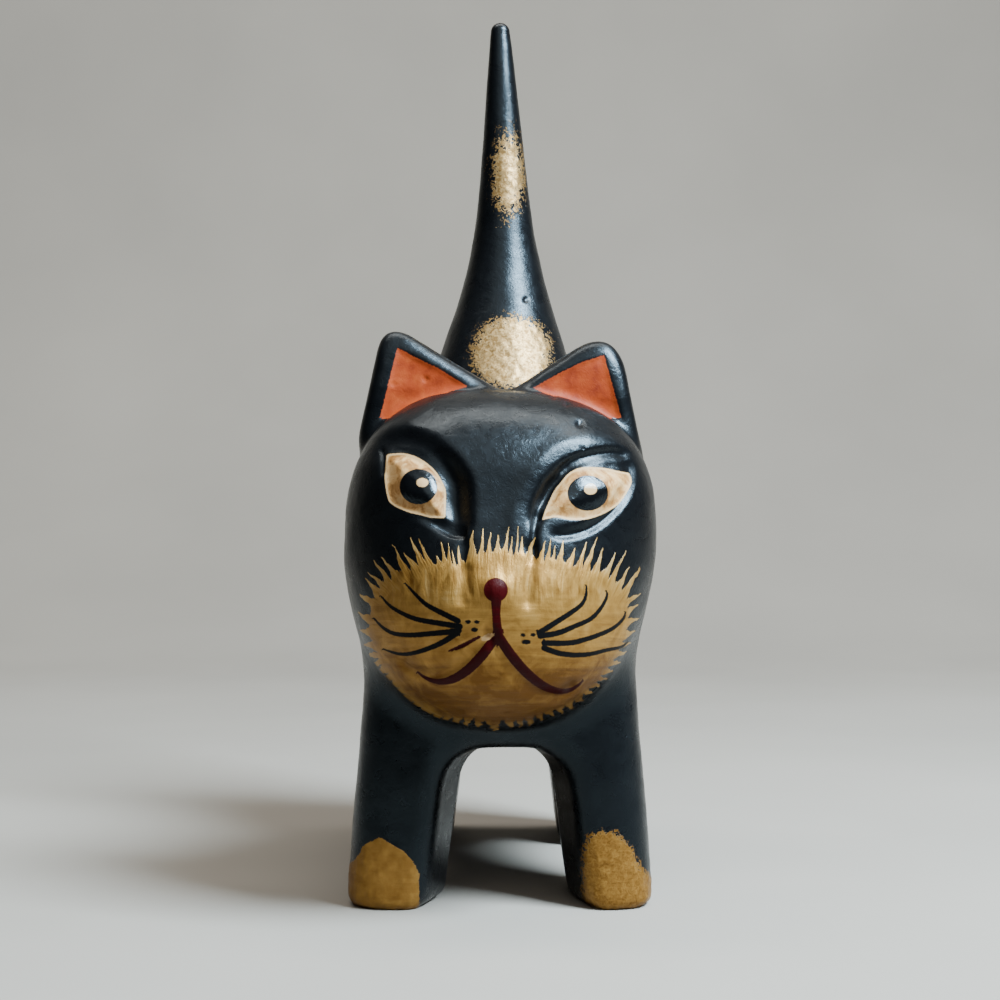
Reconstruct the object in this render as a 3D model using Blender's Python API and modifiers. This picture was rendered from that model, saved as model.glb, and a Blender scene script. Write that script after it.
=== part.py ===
"""A small carved and painted wooden cat that stands on four legs with its tail straight up.

Metres, +Z up. The cat faces -Y, and +X is to the right of someone who looks it in the face. The ground
is z = 0. While it is modelled, the front of the forelegs is y = 0. At the end the whole cat is moved so
that the z axis goes through the middle of its bounding box.

The cat is one piece of wood, so it is one object. Rough blocks are joined into one closed skin. Then
each point of that skin is moved onto the carved surface, which is where carved_form() is zero: it gives
about how far a point is outside the cat, and less than zero inside it.
"""

import math

import bmesh
import bpy
import numpy as np
from mathutils import Matrix, Vector

# The block that the body and the four legs are cut from. Its back rises to the rump between two shares of
# its length.
BODY_LENGTH = 0.112
WIDTH_AT_FEET = 0.0700
WIDTH_AT_BACK = 0.0625
TAPER_HEIGHT = 0.060
WITHERS_HEIGHT = 0.0895
RUMP_HEIGHT = 0.0995
BACK_RISE_STARTS = 0.3
BACK_RISE_ENDS = 0.9
BLOCK_CORNER = 0.010
BACK_ROUNDING = 0.040
SOLE_ROUNDING = 0.0035

# The slot between the left and the right legs, and the arch between the fore and the hind legs.
SLOT_WIDTH_LOW = 0.0290
SLOT_WIDTH_HIGH = 0.0200
SLOT_HEIGHT = 0.0365
SLOT_OFFSET = 0.0014
SLOT_ROUNDING = 0.010
FORELEG_CHAMFER = 0.0045
FORELEG_CHAMFER_DEPTH = 0.014
FORELEG_LENGTH = 0.030
HINDLEG_LENGTH = 0.033
ARCH_HEIGHT = 0.0395
ARCH_ROUNDING = 0.026
LEG_LEAN = 0.10
LEG_EDGE = 0.005

# The tail: its length above the rump, its greatest radius, its profile and how it stands. The profile
# gives shares of the length, from the rump up, each with a share of the greatest radius.
TAIL_LENGTH = 0.1250
TAIL_RADIUS = 0.0290
TAIL_PROFILE = (
    (-0.064, 1.000),
    (0.056, 0.879),
    (0.176, 0.717),
    (0.283, 0.572),
    (0.400, 0.414),
    (0.520, 0.297),
    (0.637, 0.231),
    (0.814, 0.162),
    (0.932, 0.114),
)
TAIL_TIP_RADIUS = 0.0027
TAIL_Y = 0.0925
TAIL_BOW = 0.0012
TAIL_INSET = 0.003
TAIL_SHIFT_ROUNDING = 0.020
TAIL_ROOT = 0.016
TAIL_JOIN = 0.016

# The head: a rounded block, flatter on top than below, rolled a little to the cat's left. The carving of
# the face fades in between two shares of the face's depth.
HEAD_WIDTH = 0.0714
HEAD_ABOVE_MIDDLE = 0.0343
HEAD_BELOW_MIDDLE = 0.0415
HEAD_SQUARENESS_ABOVE = 2.6
HEAD_SQUARENESS_BELOW = 2.15
FACE_SQUARENESS = 2.3
NAPE_SQUARENESS = 3.4
HEAD_MIDDLE_HEIGHT = 0.0838
HEAD_MIDDLE_Y = 0.0070
FACE_DEPTH = 0.0290
FACE_CARVED_FROM = 0.32
FACE_CARVED_FULLY_FROM = 0.65
NAPE_DEPTH = 0.0300
HEAD_ROLL = math.radians(2.5)
HEAD_JOIN = 0.005
MUZZLE_CENTRE = (0.0, -0.0100, -0.0150)
MUZZLE_HALF_SIZE = (0.0250, 0.0245, 0.0235)
MUZZLE_JOIN = 0.010

# Each ear is a wedge between the cleft on the crown and the side of the head. Its points are the corner at
# the top before it is rounded off, and one low on the outer edge. They are given in the head's own frame,
# as a share of half its width and a share of its height above the middle.
EAR_CLEFT_HEIGHT = 0.991 * HEAD_ABOVE_MIDDLE
EAR_TOPS = ((-0.824, 1.466), (0.695, 1.522))
EAR_OUTER_FEET = ((-0.936, 0.758), (0.863, 0.816))
EAR_TIP_ROUNDINGS = (0.0075, 0.0120)
EAR_ROOT_HEIGHT = 0.466 * HEAD_ABOVE_MIDDLE
EAR_FRONT_Y = 0.0020
EAR_THICKNESS = 0.0165
EAR_LEAN_BACK = 0.14
EAR_TAPER = 0.40
EAR_EDGE = 0.0045
EAR_JOIN = 0.0020
EAR_DISH = 0.0006

# The face is laid out on a flat drawing at y = 0 and carried onto the head along straight lines from
# someone who looks it in the face from this far away and this high. Its points are x and z from the
# head's middle on the drawing, before the roll, as shares of half the head's width.
LAYOUT_DISTANCE = 0.420
LAYOUT_HEIGHT = 0.0930
LAYOUT_MIDDLE_HEIGHT = 0.0840
EYE_INNER_CORNERS = ((-0.350, 0.126), (0.261, 0.140))
EYE_OUTER_CORNERS = ((-0.742, 0.510), (0.796, 0.459))
EYE_RISES = (0.157, 0.182)
EYE_DROPS = (0.185, 0.143)
EYE_RIM_DEPTH = 0.0008
EYE_RIM_WIDTH = 0.0011
EYE_BULGE = 0.0010
EYE_BULGE_WIDTH = 0.0050
SOCKET_DEPTH = 0.0024
SOCKET_SHALLOW = 0.40
SOCKET_SHALLOWS_FROM = -0.6
SOCKET_SHALLOWS_TO = 0.4
LID_TURNS_FROM = -0.0020
LID_TURNS_TO = 0.0040
SOCKET_WIDTH = 0.0030
SOCKET_OFFSET = 0.0022
BROW_HEIGHT = 0.0006
BROW_OFFSET = 0.0066
BROW_WIDTH = 0.0018
LID_HEIGHT = 0.0007
LID_OFFSET = 0.0030
LID_WIDTH = 0.0015
NOSE_TIP = (-0.014, -0.317)
NOSE_HEIGHT = 0.0012
NOSE_RADIUS = 0.0034
NOSE_SIDE_X = 0.210
NOSE_SIDE_LOW = -0.378
NOSE_SIDE_HIGH = -0.056
NOSE_SIDE_FADE = 0.0030
NOSE_SIDE_DEPTH = 0.0006
NOSE_SIDE_WIDTH = 0.0014
MOUTH_CURVES = (
    ((-0.050, -0.591), (-0.176, -0.782), (-0.381, -0.975), (-0.563, -0.807)),
    ((-0.036, -0.594), (0.064, -0.812), (0.308, -1.101), (0.487, -0.910)),
)
MOUTH_POINTS = 17
MOUTH_DEPTH = 0.0007
MOUTH_WIDTH = 0.0013

# The rough blocks: how far they keep inside the surface or reach into each other, and how many sides the
# round ones have.
ROUGH_INSET = 0.006
ROUGH_OVERLAP = 0.004
ROUGH_EAR_SHARE = 0.93
ROUGH_SIDES = 24

# How finely the skin is made, first for its rough form and then for its carving. The budget is in
# triangles. A slope of the form under the least one is taken to be the least one.
ROUGH_STEP = 0.0022
SKIN_STEP = 0.0008
SKIN_BUDGET = 9400
SMOOTHING = 0.5
SMOOTHING_COUNT = 2
SURFACE_STEPS = 5
LONGEST_MOVE = 0.0015
GRADIENT_STEP = 0.00002
LEAST_SLOPE = 0.45
SOLE_DEPTH = 0.0004

BLACK_PAINT = (0.012, 0.013, 0.015, 1.0)
BLACK_ROUGHNESS = 0.35
SHARP_ANGLE = math.radians(50)


def rounded_max(a, b, rounding):
    """The larger of two distances, which cuts one form by another. The edge is rounded off."""
    near = np.maximum(rounding - np.abs(a - b), 0.0) / rounding
    return np.maximum(a, b) + near * near * rounding / 4


def rounded_min(a, b, rounding):
    """The smaller of two distances, which joins two forms. The crease is filled with a small fillet."""
    return -rounded_max(-a, -b, rounding)


def smooth_step(low, high, value):
    t = np.clip((value - low) / (high - low), 0.0, 1.0)
    return t * t * (3 - 2 * t)


def bump(distance, width):
    """1 at distance 0, falling softly to 0 over about twice the width."""
    return np.exp(-((distance / width) ** 2))


def to_head(p):
    """Moves points into the head's own frame: its middle is the origin and its roll is undone."""
    x = p[:, 0]
    z = p[:, 2] - HEAD_MIDDLE_HEIGHT
    turn_cos, turn_sin = math.cos(HEAD_ROLL), math.sin(HEAD_ROLL)
    return x * turn_cos - z * turn_sin, p[:, 1] - HEAD_MIDDLE_Y, x * turn_sin + z * turn_cos


def to_drawing(p):
    """Where each point falls on the flat drawing of the face, from the head's middle."""
    scale = LAYOUT_DISTANCE / (LAYOUT_DISTANCE + p[:, 1])
    x = p[:, 0] * scale
    z = LAYOUT_HEIGHT + (p[:, 2] - LAYOUT_HEIGHT) * scale - LAYOUT_MIDDLE_HEIGHT
    turn_cos, turn_sin = math.cos(HEAD_ROLL), math.sin(HEAD_ROLL)
    return np.stack([x * turn_cos - z * turn_sin, x * turn_sin + z * turn_cos], axis=1)


def body_form(p):
    """The block with its four legs cut free by one slot and one arch."""
    x, y, z = p.T
    width = WIDTH_AT_FEET + (WIDTH_AT_BACK - WIDTH_AT_FEET) * smooth_step(0, TAPER_HEIGHT, z)
    block = rounded_max(np.abs(x) - width / 2, -y, BLOCK_CORNER)
    block = rounded_max(block, y - BODY_LENGTH, BLOCK_CORNER)
    rise = smooth_step(BACK_RISE_STARTS, BACK_RISE_ENDS, y / BODY_LENGTH)
    back_line = WITHERS_HEIGHT + (RUMP_HEIGHT - WITHERS_HEIGHT) * rise
    block = rounded_max(block, z - back_line, BACK_ROUNDING)
    block = rounded_max(block, -SOLE_DEPTH - z, SOLE_ROUNDING)

    chamfer = FORELEG_CHAMFER * np.maximum(0.0, 1 - y / FORELEG_CHAMFER_DEPTH)
    slot_width = SLOT_WIDTH_LOW + (SLOT_WIDTH_HIGH - SLOT_WIDTH_LOW) * z / SLOT_HEIGHT
    slot = rounded_max(
        np.abs(x - SLOT_OFFSET) - slot_width / 2 - chamfer, z - SLOT_HEIGHT, SLOT_ROUNDING
    )
    arch_front = FORELEG_LENGTH + LEG_LEAN * z
    arch_back = BODY_LENGTH - HINDLEG_LENGTH - LEG_LEAN * z
    arch_ends = np.maximum(arch_front - y, y - arch_back)
    arch = rounded_max(arch_ends, z - ARCH_HEIGHT, ARCH_ROUNDING)
    block = rounded_max(block, -slot, LEG_EDGE)
    return rounded_max(block, -arch, LEG_EDGE)


def smooth_curve(at, knots, values):
    """A smooth curve through the values at the knots."""
    slopes = np.gradient(values, knots)
    place = np.clip(np.searchsorted(knots, at) - 1, 0, len(knots) - 2)
    span = knots[place + 1] - knots[place]
    t = (at - knots[place]) / span
    start, end = values[place], values[place + 1]
    start_slope, end_slope = slopes[place] * span, slopes[place + 1] * span
    bend = start - end
    return start + t * (
        start_slope
        + t * (-3 * bend - 2 * start_slope - end_slope + t * (2 * bend + start_slope + end_slope))
    )


def tail_knots():
    """The tail's heights above the ground, each with its radius, up to the middle of its round tip."""
    knots = [(RUMP_HEIGHT + rise * TAIL_LENGTH, share * TAIL_RADIUS) for rise, share in TAIL_PROFILE]
    knots.append((RUMP_HEIGHT + TAIL_LENGTH - TAIL_TIP_RADIUS, TAIL_TIP_RADIUS))
    return knots


def tail_form(p):
    """A horn that grows out of the whole rump and thins to a round tip."""
    x, y, z = p.T
    heights, radii = np.array(tail_knots()).T
    top = heights[-1]
    level = np.clip(z, heights[0], heights[-1])
    radius = smooth_curve(level, heights, radii)
    share = (level - heights[0]) / (heights[-1] - heights[0])
    middle_x = TAIL_BOW * np.sin(math.pi * share)
    middle_y = rounded_min(TAIL_Y, BODY_LENGTH - TAIL_INSET - radius, TAIL_SHIFT_ROUNDING)
    around = np.hypot(x - middle_x, y - middle_y)
    horn = np.hypot(around, np.maximum(z - top, 0.0)) - radius
    return rounded_max(horn, heights[0] - TAIL_ROOT - z, TAIL_ROOT)


def head_block(x, y, z):
    """A block with rounded faces: square on top, egg-shaped below, and fuller at the muzzle."""
    above = z > 0
    half_height = np.where(above, HEAD_ABOVE_MIDDLE, HEAD_BELOW_MIDDLE)
    power = np.where(above, HEAD_SQUARENESS_ABOVE, HEAD_SQUARENESS_BELOW)
    ring = ((2 * np.abs(x) / HEAD_WIDTH) ** power + (np.abs(z) / half_height) ** power) ** (1 / power)
    depth = np.where(y < 0, FACE_DEPTH, NAPE_DEPTH)
    deep = np.where(y < 0, FACE_SQUARENESS, NAPE_SQUARENESS)
    size = (ring**deep + (np.abs(y) / depth) ** deep) ** (1 / deep)
    skull = (size - 1) * FACE_DEPTH
    offsets = [
        (at - middle) / half
        for at, middle, half in zip((x, y, z), MUZZLE_CENTRE, MUZZLE_HALF_SIZE, strict=True)
    ]
    muzzle = (np.sqrt(sum(offset**2 for offset in offsets)) - 1) * min(MUZZLE_HALF_SIZE)
    return rounded_min(skull, muzzle, MUZZLE_JOIN)


def line_distance(x, z, start, end):
    """How far points are to the left of a line, for someone who goes from its start to its end."""
    along_x, along_z = end[0] - start[0], end[1] - start[1]
    length = math.hypot(along_x, along_z)
    return (along_x * (z - start[1]) - along_z * (x - start[0])) / length


def ear_point(shares):
    """A point of an ear's outline in the head's frame, in metres."""
    return shares[0] * HEAD_WIDTH / 2, shares[1] * HEAD_ABOVE_MIDDLE


def ear_form(x, y, z, side):
    """One ear in the head's frame: a wedge that leans back, thins to its tip and is rounded there."""
    top, outer_foot = ear_point(EAR_TOPS[side]), ear_point(EAR_OUTER_FEET[side])
    turn = 1 if side else -1
    inner = turn * line_distance(x, z, (0.0, EAR_CLEFT_HEIGHT), top)
    outer = turn * line_distance(x, z, top, outer_foot)
    outline = rounded_max(inner, outer, EAR_TIP_ROUNDINGS[side])
    outline = np.maximum(outline, np.abs(x) - HEAD_WIDTH / 2)
    rise = np.maximum(z - EAR_CLEFT_HEIGHT, 0.0)
    dish = EAR_DISH * smooth_step(0.0, 2 * EAR_EDGE, -outline)
    front = EAR_FRONT_Y + EAR_LEAN_BACK * rise + dish - y
    back = y - (EAR_FRONT_Y + EAR_THICKNESS - EAR_TAPER * rise)
    plate = rounded_max(front, back, EAR_EDGE)
    wedge = rounded_max(outline, plate, EAR_EDGE)
    return rounded_max(wedge, EAR_ROOT_HEIGHT - z, EAR_THICKNESS / 2)


def on_face(shares):
    """A point or a length of the face's drawing, in metres."""
    return np.array(shares) * HEAD_WIDTH / 2


def eye_distances(d, side):
    """For points on the drawing: distance outside the eye's almond, height above its long axis, and the
    share of the way along that axis, from -1 at the inner corner to 1 at the outer one."""
    inner, outer = on_face(EYE_INNER_CORNERS[side]), on_face(EYE_OUTER_CORNERS[side])
    length = np.linalg.norm(outer - inner)
    along = (outer - inner) / length
    up = np.array([-along[1], along[0]]) if side else np.array([along[1], -along[0]])
    across = (d - inner) @ along - length / 2
    height = (d - inner) @ up
    edges = []
    for rise, direction in ((on_face(EYE_RISES[side]), 1), (on_face(EYE_DROPS[side]), -1)):
        radius = (length**2 / 4 + rise**2) / (2 * rise)
        edges.append(np.hypot(across, height * direction + radius - rise) - radius)
    return rounded_max(edges[0], edges[1], EYE_RIM_WIDTH), height, 2 * across / length


def eye_relief(d, side):
    """How deep the eye is cut: a rim, a deep socket above it, a brow and a lower lid that stand out."""
    outside, height, share = eye_distances(d, side)
    over = smooth_step(LID_TURNS_FROM, LID_TURNS_TO, height)
    outward = smooth_step(SOCKET_SHALLOWS_FROM, SOCKET_SHALLOWS_TO, share)
    hollow = SOCKET_DEPTH * (1 - (1 - SOCKET_SHALLOW) * outward)
    depth = EYE_RIM_DEPTH * bump(outside, EYE_RIM_WIDTH)
    depth = depth - EYE_BULGE * smooth_step(0.0, EYE_BULGE_WIDTH, -outside)
    depth = depth + hollow * over * bump(outside - SOCKET_OFFSET, SOCKET_WIDTH)
    depth = depth - BROW_HEIGHT * over * bump(outside - BROW_OFFSET, BROW_WIDTH)
    return depth - LID_HEIGHT * (1 - over) * bump(outside - LID_OFFSET, LID_WIDTH)


def curve_distance(d, curve):
    """Distance on the drawing to a curve given by its four control points."""
    t = np.linspace(0, 1, MOUTH_POINTS)[:, None]
    a, b, c, e = (on_face(point) for point in curve)
    line = a * (1 - t) ** 3 + 3 * b * t * (1 - t) ** 2 + 3 * c * t**2 * (1 - t) + e * t**3
    nearest = np.full(len(d), np.inf)
    for start, end in zip(line[:-1], line[1:], strict=True):
        step = end - start
        share = np.clip((d - start) @ step / (step @ step), 0, 1)
        nearest = np.minimum(nearest, np.linalg.norm(d - start - share[:, None] * step, axis=1))
    return nearest


def face_relief(d):
    """How deep the face is cut at points on the drawing. What stands out is less than zero."""
    depth = eye_relief(d, 0) + eye_relief(d, 1)
    from_nose = d - on_face(NOSE_TIP)
    depth = depth - NOSE_HEIGHT * bump(np.linalg.norm(from_nose, axis=1), NOSE_RADIUS)
    low, high = on_face((NOSE_SIDE_LOW, NOSE_SIDE_HIGH))
    beside_nose = bump(np.abs(from_nose[:, 0]) - on_face(NOSE_SIDE_X), NOSE_SIDE_WIDTH)
    beside_nose = beside_nose * smooth_step(low - NOSE_SIDE_FADE, low, d[:, 1])
    beside_nose = beside_nose * (1 - smooth_step(high, high + NOSE_SIDE_FADE, d[:, 1]))
    depth = depth + NOSE_SIDE_DEPTH * beside_nose
    for curve in MOUTH_CURVES:
        depth = depth + MOUTH_DEPTH * bump(curve_distance(d, curve), MOUTH_WIDTH)
    return depth


def head_form(p):
    """The head with its ears, and with the face cut into its front."""
    x, y, z = to_head(p)
    form = head_block(x, y, z)
    facing = y < 0
    forward = -y[facing] / FACE_DEPTH
    carved = smooth_step(FACE_CARVED_FROM, FACE_CARVED_FULLY_FROM, forward)
    form[facing] += carved * face_relief(to_drawing(p[facing]))
    for side in (0, 1):
        form = rounded_min(form, ear_form(x, y, z, side), EAR_JOIN)
    return form


def carved_form(p):
    """About how far each point is outside the cat: less than zero inside, zero on its surface."""
    trunk = rounded_min(body_form(p), tail_form(p), TAIL_JOIN)
    return rounded_min(trunk, head_form(p), HEAD_JOIN)


def add_box(mesh, low, high):
    size = [b - a for a, b in zip(low, high, strict=True)]
    middle = [(a + b) / 2 for a, b in zip(low, high, strict=True)]
    place = Matrix.Translation(middle) @ Matrix.Diagonal((*size, 1.0))
    bmesh.ops.create_cube(mesh, size=1.0, matrix=place)


def add_cone(mesh, low, high, low_radius, high_radius):
    """An upright cone, or a leaning one, between two points."""
    lean = Matrix.Translation(low)
    lean.col[2] = Vector((*high, 1.0)) - Vector((*low, 1.0))
    bmesh.ops.create_cone(
        mesh,
        cap_ends=True,
        segments=ROUGH_SIDES,
        radius1=low_radius,
        radius2=high_radius,
        depth=1.0,
        matrix=lean @ Matrix.Translation((0, 0, 0.5)),
    )


def add_rough_ear(mesh, side):
    """A plain wedge between the cleft, the ear's tip and the side of the head."""
    head_place = Matrix.Translation((0, HEAD_MIDDLE_Y, HEAD_MIDDLE_HEIGHT))
    roll = head_place @ Matrix.Rotation(HEAD_ROLL, 4, "Y")
    top, foot = ear_point(EAR_TOPS[side]), ear_point(EAR_OUTER_FEET[side])
    tip_y = EAR_FRONT_Y + EAR_LEAN_BACK * (top[1] - EAR_CLEFT_HEIGHT)
    back_y = EAR_FRONT_Y + EAR_THICKNESS
    tip_x, tip_z = top[0] * ROUGH_EAR_SHARE, top[1] * ROUGH_EAR_SHARE
    corners = [(tip_x, y, tip_z) for y in (tip_y, tip_y + EAR_EDGE)]
    for x, z in ((0.0, EAR_CLEFT_HEIGHT), foot, (foot[0], EAR_ROOT_HEIGHT), (0.0, EAR_ROOT_HEIGHT)):
        corners += [(x, y, z) for y in (EAR_FRONT_Y, back_y)]
    points = [bmesh.ops.create_vert(mesh, co=roll @ Vector(corner))["vert"][0] for corner in corners]
    bmesh.ops.convex_hull(mesh, input=points)


def rough_block():
    """The cat sawn out roughly: plain blocks that overlap, close to the carved surface everywhere."""
    rough = bmesh.new()
    half_width = WIDTH_AT_BACK / 2
    back_height = WITHERS_HEIGHT - ROUGH_INSET
    add_box(rough, (-half_width, 0, SLOT_HEIGHT), (half_width, BODY_LENGTH, back_height))
    slot_half = (SLOT_WIDTH_LOW + SLOT_WIDTH_HIGH) / 4
    lengths = ((0, FORELEG_LENGTH), (BODY_LENGTH - HINDLEG_LENGTH, BODY_LENGTH))
    for front, back in lengths:
        for inner, outer in ((slot_half, WIDTH_AT_FEET / 2), (-WIDTH_AT_FEET / 2, -slot_half)):
            add_box(rough, (inner, front, -SOLE_DEPTH), (outer, back, SLOT_HEIGHT + ROUGH_OVERLAP))
    knots = tail_knots()
    knots.insert(0, (knots[0][0] - TAIL_ROOT, knots[0][1]))
    knots.append((knots[-1][0] + TAIL_TIP_RADIUS, TAIL_TIP_RADIUS / 2))
    for (low, low_radius), (high, high_radius) in zip(knots[:-1], knots[1:], strict=True):
        radii = (low_radius, high_radius)
        low_y, high_y = (min(TAIL_Y, BODY_LENGTH - TAIL_INSET - radius) for radius in radii)
        add_cone(rough, (0, low_y, low - SKIN_STEP / 2), (0, high_y, high), *radii)
    size = (HEAD_WIDTH / 2, FACE_DEPTH, (HEAD_ABOVE_MIDDLE + HEAD_BELOW_MIDDLE) / 2)
    middle_height = HEAD_MIDDLE_HEIGHT + (HEAD_ABOVE_MIDDLE - HEAD_BELOW_MIDDLE) / 2
    place = Matrix.Translation((0, HEAD_MIDDLE_Y, middle_height)) @ Matrix.Diagonal((*size, 1.0))
    bmesh.ops.create_uvsphere(
        rough, u_segments=2 * ROUGH_SIDES, v_segments=ROUGH_SIDES, radius=1.0, matrix=place
    )
    for side in (0, 1):
        add_rough_ear(rough, side)
    return rough


def evaluated_mesh(obj):
    """The object's mesh with its modifiers worked in, as a new mesh."""
    graph = bpy.context.evaluated_depsgraph_get()
    return bpy.data.meshes.new_from_object(obj.evaluated_get(graph))


def work_in(obj, kind, **settings):
    """Adds one modifier and works it into the object's mesh."""
    modifier = obj.modifiers.new(kind.title(), kind)
    for name, value in settings.items():
        setattr(modifier, name, value)
    before = obj.data
    after = evaluated_mesh(obj)
    obj.modifiers.clear()
    obj.data = after
    bpy.data.meshes.remove(before)


def carve(mesh):
    """Moves every point of the mesh along the steepest way onto the carved surface."""
    points = np.empty(len(mesh.vertices) * 3)
    mesh.vertices.foreach_get("co", points)
    points = points.reshape(-1, 3)
    for _ in range(SURFACE_STEPS):
        value = carved_form(points)
        shifts = np.eye(3) * GRADIENT_STEP
        rises = [carved_form(points + shift) - value for shift in shifts]
        slope = np.stack(rises, axis=1) / GRADIENT_STEP
        steepness = np.maximum(np.linalg.norm(slope, axis=1), LEAST_SLOPE)
        move = slope * (value / steepness**2)[:, None]
        length = np.linalg.norm(move, axis=1)
        move *= (LONGEST_MOVE / np.maximum(length, LONGEST_MOVE))[:, None]
        points = points - move
    mesh.vertices.foreach_set("co", points.ravel())
    mesh.update()


def cut_soles(mesh):
    """Cuts the feet off flat on the ground and closes the soles."""
    work = bmesh.new()
    work.from_mesh(mesh)
    geometry = work.verts[:] + work.edges[:] + work.faces[:]
    bmesh.ops.bisect_plane(
        work, geom=geometry, dist=1e-6, plane_co=(0, 0, 0), plane_no=(0, 0, -1), clear_outer=True
    )
    rims = [edge for edge in work.edges if edge.is_boundary]
    bmesh.ops.holes_fill(work, edges=rims)
    bmesh.ops.recalc_face_normals(work, faces=work.faces[:])
    work.to_mesh(mesh)
    work.free()


def centre_over_ground(mesh):
    """Moves the mesh so that its bounding box is centred on the z axis."""
    points = np.empty(len(mesh.vertices) * 3)
    mesh.vertices.foreach_get("co", points)
    points = points.reshape(-1, 3)
    middle = (points.min(axis=0) + points.max(axis=0)) / 2
    mesh.transform(Matrix.Translation((-middle[0], -middle[1], 0)))


def paint(name, colour, roughness):
    material = bpy.data.materials.new(name)
    material.use_nodes = True
    shader = material.node_tree.nodes["Principled BSDF"]
    shader.inputs["Base Color"].default_value = colour
    shader.inputs["Roughness"].default_value = roughness
    return material


def make_cat(collection):
    mesh = bpy.data.meshes.new("cat")
    rough = rough_block()
    rough.to_mesh(mesh)
    rough.free()
    cat = bpy.data.objects.new("cat", mesh)
    collection.objects.link(cat)
    for step in (ROUGH_STEP, SKIN_STEP):
        work_in(cat, "REMESH", mode="VOXEL", voxel_size=step)
        work_in(cat, "SMOOTH", factor=SMOOTHING, iterations=SMOOTHING_COUNT)
        carve(cat.data)
    triangles = sum(len(face.vertices) - 2 for face in cat.data.polygons)
    work_in(cat, "DECIMATE", ratio=SKIN_BUDGET / triangles)
    cut_soles(cat.data)
    centre_over_ground(cat.data)
    cat.data.materials.clear()
    cat.data.materials.append(paint("black_paint", BLACK_PAINT, BLACK_ROUGHNESS))
    cat.data.shade_smooth()
    cat.data.set_sharp_from_angle(angle=SHARP_ANGLE)


def main():
    for obj in list(bpy.data.objects):
        bpy.data.objects.remove(obj)
    collection = bpy.data.collections.new("wooden_cat_figurine")
    bpy.context.scene.collection.children.link(collection)
    make_cat(collection)


main()
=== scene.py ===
"""A small carved and painted wooden cat: its fine carving and its paint, with a plain floor, soft light and
a camera in front of its face.

Metres, +Z up. The cat faces -Y, and +X is to the right of someone who looks it in the face. The carved form
is worked out as for the plain solid, from the same sizes, with y = 0 at the front of the forelegs, and then
the paint's own relief is laid on it. Paint and fine carving are laid out on a flat drawing of 1000 by 1000
pixels, x to the right and y down, that someone sees who looks the cat in the face from close by. They are
carried onto the cat along the lines of sight of that person, who is fixed to the cat, wherever it is seen
from. Relief is in metres, and what is cut into the wood is more than zero.
"""

import math

import bmesh
import bpy
import numpy as np
from mathutils import Matrix, Vector, noise


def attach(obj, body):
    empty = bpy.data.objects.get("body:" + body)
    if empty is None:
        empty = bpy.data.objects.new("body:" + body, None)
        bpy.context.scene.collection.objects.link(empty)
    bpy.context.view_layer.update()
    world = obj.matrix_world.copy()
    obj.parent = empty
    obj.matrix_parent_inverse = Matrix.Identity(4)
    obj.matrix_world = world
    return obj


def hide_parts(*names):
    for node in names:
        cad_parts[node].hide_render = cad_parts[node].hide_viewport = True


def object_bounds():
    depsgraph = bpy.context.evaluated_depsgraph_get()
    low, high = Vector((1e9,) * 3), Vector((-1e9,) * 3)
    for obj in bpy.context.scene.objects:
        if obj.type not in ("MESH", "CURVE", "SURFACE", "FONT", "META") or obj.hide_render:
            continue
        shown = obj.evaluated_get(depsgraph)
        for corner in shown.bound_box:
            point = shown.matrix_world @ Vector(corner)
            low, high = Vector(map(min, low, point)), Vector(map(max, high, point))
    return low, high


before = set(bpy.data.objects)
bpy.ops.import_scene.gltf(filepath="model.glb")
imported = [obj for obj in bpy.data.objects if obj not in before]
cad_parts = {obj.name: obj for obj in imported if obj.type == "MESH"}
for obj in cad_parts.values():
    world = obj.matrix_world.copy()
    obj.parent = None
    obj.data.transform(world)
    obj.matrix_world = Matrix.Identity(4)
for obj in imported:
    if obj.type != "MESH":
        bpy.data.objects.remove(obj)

CAD_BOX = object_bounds()

# How far the muzzle stands out in front of the forelegs.
MUZZLE_REACH = 0.02876

# The block that the body and the four legs are cut from. Its back rises to the rump between two shares of
# its length.
BODY_LENGTH = 0.112
WIDTH_AT_FEET = 0.0700
WIDTH_AT_BACK = 0.0625
TAPER_HEIGHT = 0.060
WITHERS_HEIGHT = 0.0895
RUMP_HEIGHT = 0.0995
BACK_RISE_STARTS = 0.3
BACK_RISE_ENDS = 0.9
BLOCK_CORNER = 0.010
BACK_ROUNDING = 0.040
SOLE_ROUNDING = 0.0035

# The slot between the left and the right legs, and the arch between the fore and the hind legs.
SLOT_WIDTH_LOW = 0.0290
SLOT_WIDTH_HIGH = 0.0200
SLOT_HEIGHT = 0.0365
SLOT_OFFSET = 0.0014
SLOT_ROUNDING = 0.010
FORELEG_CHAMFER = 0.0045
FORELEG_CHAMFER_DEPTH = 0.014
FORELEG_LENGTH = 0.030
HINDLEG_LENGTH = 0.033
ARCH_HEIGHT = 0.0395
ARCH_ROUNDING = 0.026
LEG_LEAN = 0.10
LEG_EDGE = 0.005

# The tail: its length above the rump, its greatest radius, its profile and how it stands. The profile
# gives shares of the length, from the rump up, each with a share of the greatest radius.
TAIL_LENGTH = 0.1250
TAIL_RADIUS = 0.0290
TAIL_PROFILE = (
    (-0.064, 1.000),
    (0.056, 0.879),
    (0.176, 0.717),
    (0.283, 0.572),
    (0.400, 0.414),
    (0.520, 0.297),
    (0.637, 0.231),
    (0.814, 0.162),
    (0.932, 0.114),
)
TAIL_TIP_RADIUS = 0.0027
TAIL_Y = 0.0925
TAIL_BOW = 0.0012
TAIL_INSET = 0.003
TAIL_SHIFT_ROUNDING = 0.020
TAIL_ROOT = 0.016
TAIL_JOIN = 0.016

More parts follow.
